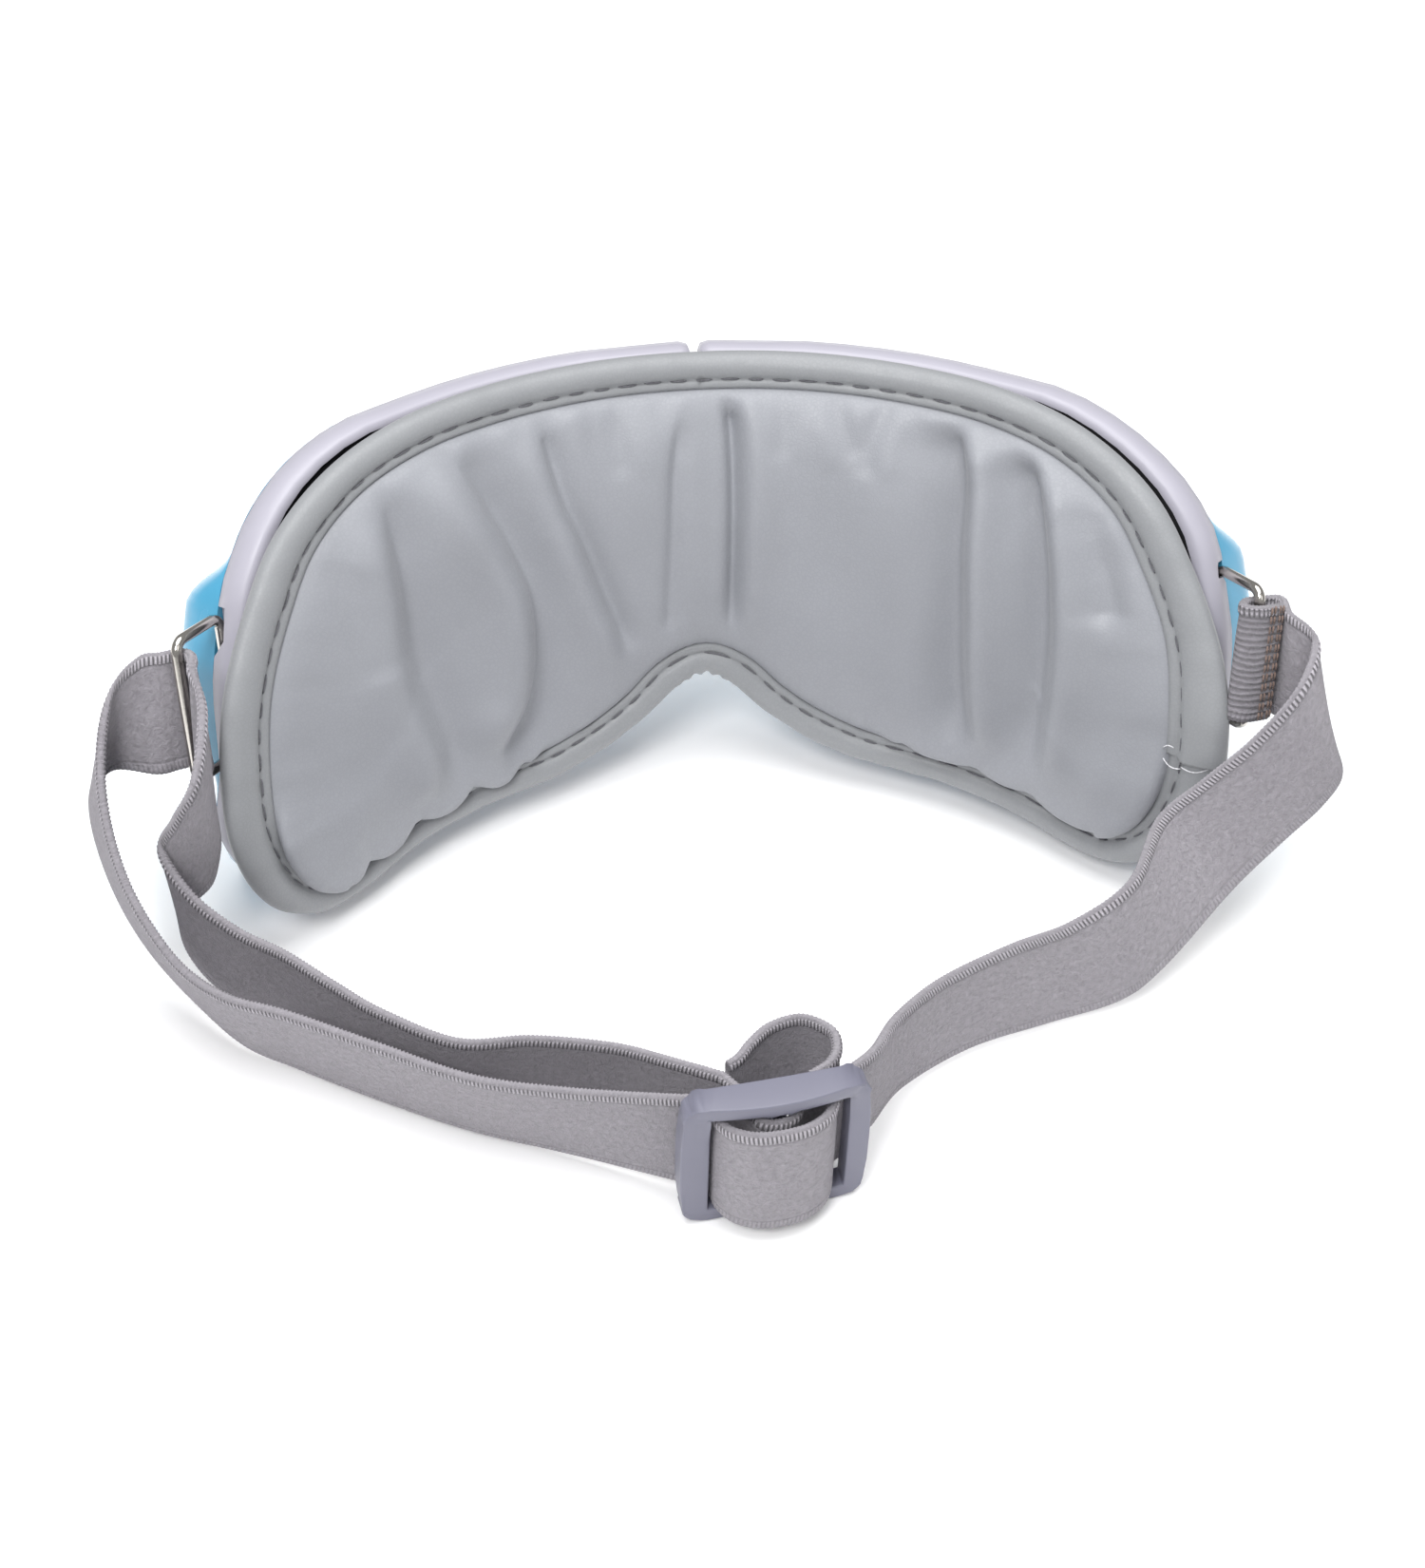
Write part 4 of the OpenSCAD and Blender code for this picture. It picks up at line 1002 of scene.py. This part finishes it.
def bar_point(p, q, w, side):
    v = np.array([REACH + p, q, w], float)
    c, s = math.cos(RING_DIR[side]), math.sin(RING_DIR[side])
    v = np.array([v[0] * c - v[1] * s, v[0] * s + v[1] * c, v[2]])
    c, s = math.cos(RING_TILT), math.sin(RING_TILT)
    v = np.array([v[0] * c + v[2] * s, v[1], -v[0] * s + v[2] * c]) + RING_POS + (np.array([-.69, .72, 0]) * TUCK if side < 0 else 0) + [0, 31, 52]
    c, s = math.cos(-LEAN), math.sin(-LEAN)
    v = np.array([v[0], v[1] * c - v[2] * s, v[1] * s + v[2] * c])
    return v * [side, 1, 1]


def bar_pair(p, q, side):
    return [bar_point(p, q, -12.5, side), bar_point(p, q, 12.5, side)]


def sl_pair(u, v):
    return [sl(u, v, 3.6), sl(u, v, 28.6)]


right_st = [bar_pair(p, q, 1) for p, q in ((2.3, 3.6), (2.5, 1), (2.2, -2), (.2, -3.8), (-2.2, -2), (-2.5, .6), (-2.3, 3.4), (-.9, 6.2))] + [
    [[113.5, -11.5, 48], [112, -2.5, 70.5]], [[120, -15.5, 45], [116.4, -7.5, 67.5]], [[123.15, -19.5, 40.5], [111.4, -16, 62]], [[119.6, -21.5, 34], [103.6, -17.5, 50]],
    [[112.5, -23.5, 27], [95, -18.5, 41]], [[102, -27.5, 17.5], [85, -23, 35]], [[86.5, -38.5, 8], [77, -36, 31]], [[77, -42.5, 3], [65, -40.5, 25]],
    [[61, -46, 1.4], [52, -45.5, 25]], [[44.5, -51, 1.4], [37, -53, 25]], [[29, -60.5, 2], [26.5, -63, 26.8]], [[21, -70.5, 3], [20.5, -72, 28]], sl_pair(16.6, 5.6)]
turn_st = [[sl(u, v * (1.22 if v < 0 else 1), 3.2), sl(u, v * (.95 if v < 0 else 1), 28.6)] for u, v in ((15.5, 5), (13, 3.7), (11.5, .8), (10.7, -2.2), (8.6, -4.9), (4.8, -6.8), (0, -7.32), (-4.8, -6.8), (-8.6, -4.9), (-10.6, -2.2), (-11.2, .6), (-11.9, 3.6), (-15.2, 5.1))]
outer_st = [sl_pair(-16, 5.1), [[-37, -70.5, 1.4], [-37, -75.5, 26]], [[-55, -63, 1], [-55, -70, 25]], [[-73, -53.5, 1], [-72.5, -60.5, 25]], [[-88, -44.5, 1], [-89.5, -51, 25]],
    [[-99, -38, 2], [-100.5, -46.5, 25.5]], [[-109, -28.5, 6], [-108.5, -41, 27.5]], [[-117, -20.5, 12], [-114.5, -34.5, 32.5]], [[-123, -12, 19], [-119.5, -26.5, 39.5]],
    [[-127, -2.5, 27], [-122.5, -16.5, 47.5]], [[-127, 2, 35], [-122.5, -8.5, 57]], [[-122, 0, 43], [-119.5, -3, 67.5]]]
inner_st = [[[-104.4, -11, 47.5], [-104.2, -1.5, 70.5]], [[-102.4, -13.5, 41], [-102.6, -8, 65.5]], [[-102, -15, 33.5], [-104.5, -19, 58]], [[-104, -15.5, 25], [-109.5, -20.5, 48.5]],
    [[-110, -15.5, 17], [-112.5, -21, 41.5]], [[-110, -18, 8.5], [-107.5, -25, 32.5]], [[-103, -25, 3], [-99, -30, 27]], [[-91, -31.5, 1.4], [-90, -36, 26]], [[-81, -39.5, 1], [-80.5, -44.5, 25.5]],
    [[-71, -47.5, 1], [-71.5, -52.5, 25.5]], [[-57, -55.5, 1], [-57.5, -61, 25.5]], [[-43, -58, 1], [-43.5, -61.5, 25.5]], [[-28, -62.5, 1.6], [-28, -65.5, 26.4]], [[-17.5, -70.5, 3], [-17.5, -71.5, 28]], sl_pair(-8.2, 9.2)]
ring_st = [bar_pair(p, q, -1) for p, q in ((3.4, 6.6), (.4, 3.8), (-1.8, 1.9), (-2.5, 0), (-1.8, -1.9), (0, -3.6))]
loop_st = [sl_pair(u, v) for u, v in ((-7.4, 8.2), (-5.6, 5), (-4.2, 1.5), (-3.9, -1.4), (-3, -3.4), (0, -4.3), (3, -3.4), (4.1, -1.4), (4.8, 1.5), (8, 5.2), (12.6, 7.6), (15, 11),
    (15, 15.5), (10.4, 19.6), (4, 18.8), (-.6, 15.6), (-3.6, 12.6), (-6.2, 11.2))]
chain = right_st + turn_st + outer_st + ring_st + inner_st + loop_st
N_R, N_T, N_O, N_G, N_I = len(right_st), len(turn_st), len(outer_st), len(ring_st), len(inner_st)
lo_ch = np.array([s[0] for s in chain], float)
hi_ch = np.array([s[1] for s in chain], float)
K = 24
lo_d, hi_d = catmull(lo_ch, K), catmull(hi_ch, K)
mid_d = (lo_d + hi_d) / 2
arc_d = np.concatenate([[0], np.cumsum(np.linalg.norm(np.diff(mid_d, axis=0), axis=1))])
STRAP_L = arc_d[-1]
STEP = .4
st = np.linspace(0, STRAP_L, round(STRAP_L / STEP) + 1)
par = np.interp(st, arc_d, np.arange(len(arc_d)) / K)      # station number of each section
lo_s = np.stack([np.interp(st, arc_d, lo_d[:, k]) for k in range(3)], -1)
hi_s = np.stack([np.interp(st, arc_d, hi_d[:, k]) for k in range(3)], -1)
wv = hi_s - lo_s
wlen = np.linalg.norm(wv, axis=1)
wv /= wlen[:, None]
dv = np.gradient(lo_s + hi_s, axis=0)
dv /= np.linalg.norm(dv, axis=1)[:, None]
nv = np.cross(dv, wv)
nv /= np.linalg.norm(nv, axis=1)[:, None]
# across (0..1 of 25 mm), half thickness
PROF = [(.0, .0), (.12, .42), (.7, .72), (1.5, .76), (2.1, .77), (2.6, .77), (7, .78), (12.5, .80), (18, .78), (22.4, .66), (22.9, .86), (23.5, .92), (24.3, .84), (24.88, .42)]
SEC = [(a, b) for a, b in PROF] + [(25.0, .0)] + [(a, -b) for a, b in PROF[:0:-1]]
sec_a, sec_n = np.array([s[0] for s in SEC]), np.array([s[1] for s in SEC])
edge_w = np.clip(1 - np.minimum(sec_a, 25 - sec_a) / 2.5, 0, 1)
par_sign = np.where(np.arange(len(st)) % 2, 1.0, -1.0)
th = sec_n[None] * (1 + .17 * par_sign[:, None] * ((edge_w > 0) * np.where(sec_a > 12, 1, .3))[None])
ac = np.repeat(sec_a[None], len(st), 0) / 25
ac = ac + (np.where(sec_a < 1, -1, np.where(sec_a > 24, 1, 0)) * .06 / 25)[None] * par_sign[:, None]
ripple = .10 * np.sin(st / 3.1) * np.sin(st / 7.7 + 1)
sv = lo_s[:, None, :] + (ac * wlen[:, None])[..., None] * wv[:, None, :] + (th + ripple[:, None] * (1 - edge_w)[None] * .4)[..., None] * nv[:, None, :]
sv = (sv + SHIFT) / 1000
sv[..., 2] = np.maximum(sv[..., 2], .0002)
n_s, m_s = sv.shape[:2]
all_f = np.array(grid_faces(n_s, m_s))
flat_v = sv.reshape(-1, 3)
fn = np.cross(flat_v[all_f[:, 2]] - flat_v[all_f[:, 0]], flat_v[all_f[:, 3]] - flat_v[all_f[:, 1]])
if ((flat_v[all_f].mean(1) - ((lo_s + hi_s) / 2 + SHIFT)[all_f[:, 0] // m_s] / 1000) * fn).sum() < 0:
    all_f = all_f[:, ::-1]
    fn = -fn
vn = np.zeros_like(flat_v)
for k in range(4):
    np.add.at(vn, all_f[:, k], fn)
vn /= np.linalg.norm(vn, axis=1)[:, None]
face_row = np.repeat(np.arange(n_s - 1), m_s)


def station(i):
    """Middle of a station of the chain, in metres."""
    return tuple((((lo_ch[i] + hi_ch[i]) / 2) + SHIFT) / 1000)


def webbing(name, a, b, mat, node, cut_ends=()):
    """The strap from station a to station b as its own closed piece, shaded as one with its neighbours."""
    i0, i1 = int(np.searchsorted(par, a)), int(np.searchsorted(par, b))
    i0, i1 = min(i0, n_s - 1), min(i1, n_s - 1)
    rows = np.arange(i0, i1 + 1)
    v = flat_v[i0 * m_s:(i1 + 1) * m_s]
    keep = (face_row >= i0) & (face_row < i1)
    f = [tuple(q) for q in (all_f[keep] - i0 * m_s)]
    nr = len(rows)
    c0, c1 = list(range(m_s)), list(range((nr - 1) * m_s, nr * m_s))
    d0 = (v[m_s:2 * m_s].mean(0) - v[:m_s].mean(0))
    caps = []
    for c, d in ((c0, -d0), (c1, v[-m_s:].mean(0) - v[-2 * m_s:-m_s].mean(0))):
        p = v[c]
        nrm = sum(np.cross(p[i] - p.mean(0), p[(i + 1) % m_s] - p.mean(0)) for i in range(m_s))
        caps.append(tuple(c) if nrm @ d > 0 else tuple(c[::-1]))
    faces = f + caps
    normals = [tuple(vn[i + i0 * m_s]) for q in f for i in q]
    for c, d in zip(caps, (-d0, v[-m_s:].mean(0) - v[-2 * m_s:-m_s].mean(0))):
        normals += [tuple(d / np.linalg.norm(d))] * len(c)
    uv = np.stack([np.repeat(rows * STEP / 1000, m_s), np.tile(sec_a / 1000, nr)], -1)
    ob = piece(name, v, faces, mat, uv=uv, normals=normals)
    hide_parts(node)
    return ob


T0 = N_R
O0 = T0 + N_T
G0 = O0 + N_O
I0 = G0 + N_G
L0 = I0 + N_I
w0 = webbing("webbing_right_ring_loop", 0, 6.4, M["strap_rib"], "strap_right")
w1 = webbing("webbing_right_shoulder", 6.4, 9, M["strap"], "strap_right")
w2 = webbing("webbing_right_upper", 9, 14, M["strap"], "strap_right")
w3 = webbing("webbing_right_lower", 14, T0 - .5, M["strap"], "strap_right")
w4 = webbing("webbing_slider_turn", T0 - .5, O0 - .5, M["strap"], "strap_slider_turn")
w5 = webbing("webbing_left_lower", O0 - .5, O0 + 5, M["strap"], "strap_left")
w6 = webbing("webbing_left_ring_loop", O0 + 5, I0 + 6, M["strap"], "strap_left")
w7 = webbing("webbing_left_inner", I0 + 6, L0 - .5, M["strap"], "strap_left")
w8 = webbing("webbing_end_loop", L0 - .5, len(chain) - 1, M["strap"], "strap_end_loop")
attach(w0, "right_strap_ring")
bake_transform(w1, "right_strap_ring", "right_half", start=station(7), end=station(9))
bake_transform(w2, "right_half", "left_half", start=station(9), end=station(14))
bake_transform(w3, "left_half", "slider", start=station(14), end=station(N_R - 2))

# sewn seam that closes the right loop: rows of brown stitches through its front layer
bar_c = (np.array(bar_point(0, 0, 0, 1)) + SHIFT) / 1000
rows = []
for where in (.12, .45, .8, 1.15):
    i = int(np.searchsorted(par, where))
    away = ((lo_s[i] + hi_s[i]) / 2 + SHIFT) / 1000 - bar_c
    sign = 1 if away @ nv[i] > 0 else -1
    for a0 in np.arange(.7, 23.6, 2.05):
        q = np.linspace(a0, a0 + 1.65, 6) + .12 * rng.uniform(-1, 1)
        lift = .98 + .14 * (1 - np.linspace(-1, 1, 6) ** 4)
        rows.append(tube((lo_s[i] + q[:, None] * wv[i] * wlen[i] / 25 + (sign * lift)[:, None] * nv[i] + SHIFT) / 1000, .00024, 6))
v, f = gather(rows)
tack = piece("loop_seam", v, f, M["sewing"])
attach(tack, "right_strap_ring")
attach(w4, "slider")
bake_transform(w5, "slider", "left_half", start=station(O0), end=station(O0 + 4))
ring_mid = Vector(station(G0 + 3))
low_mid = (Vector(station(O0 + 7)) + Vector(station(I0 + 5))) / 2
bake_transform(w6, "left_half", "left_strap_ring", start=tuple(low_mid), end=tuple(ring_mid.lerp(low_mid, .12)))
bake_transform(w7, "left_half", "slider", start=station(I0 + 9), end=station(L0 - 2))
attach(w8, "slider")
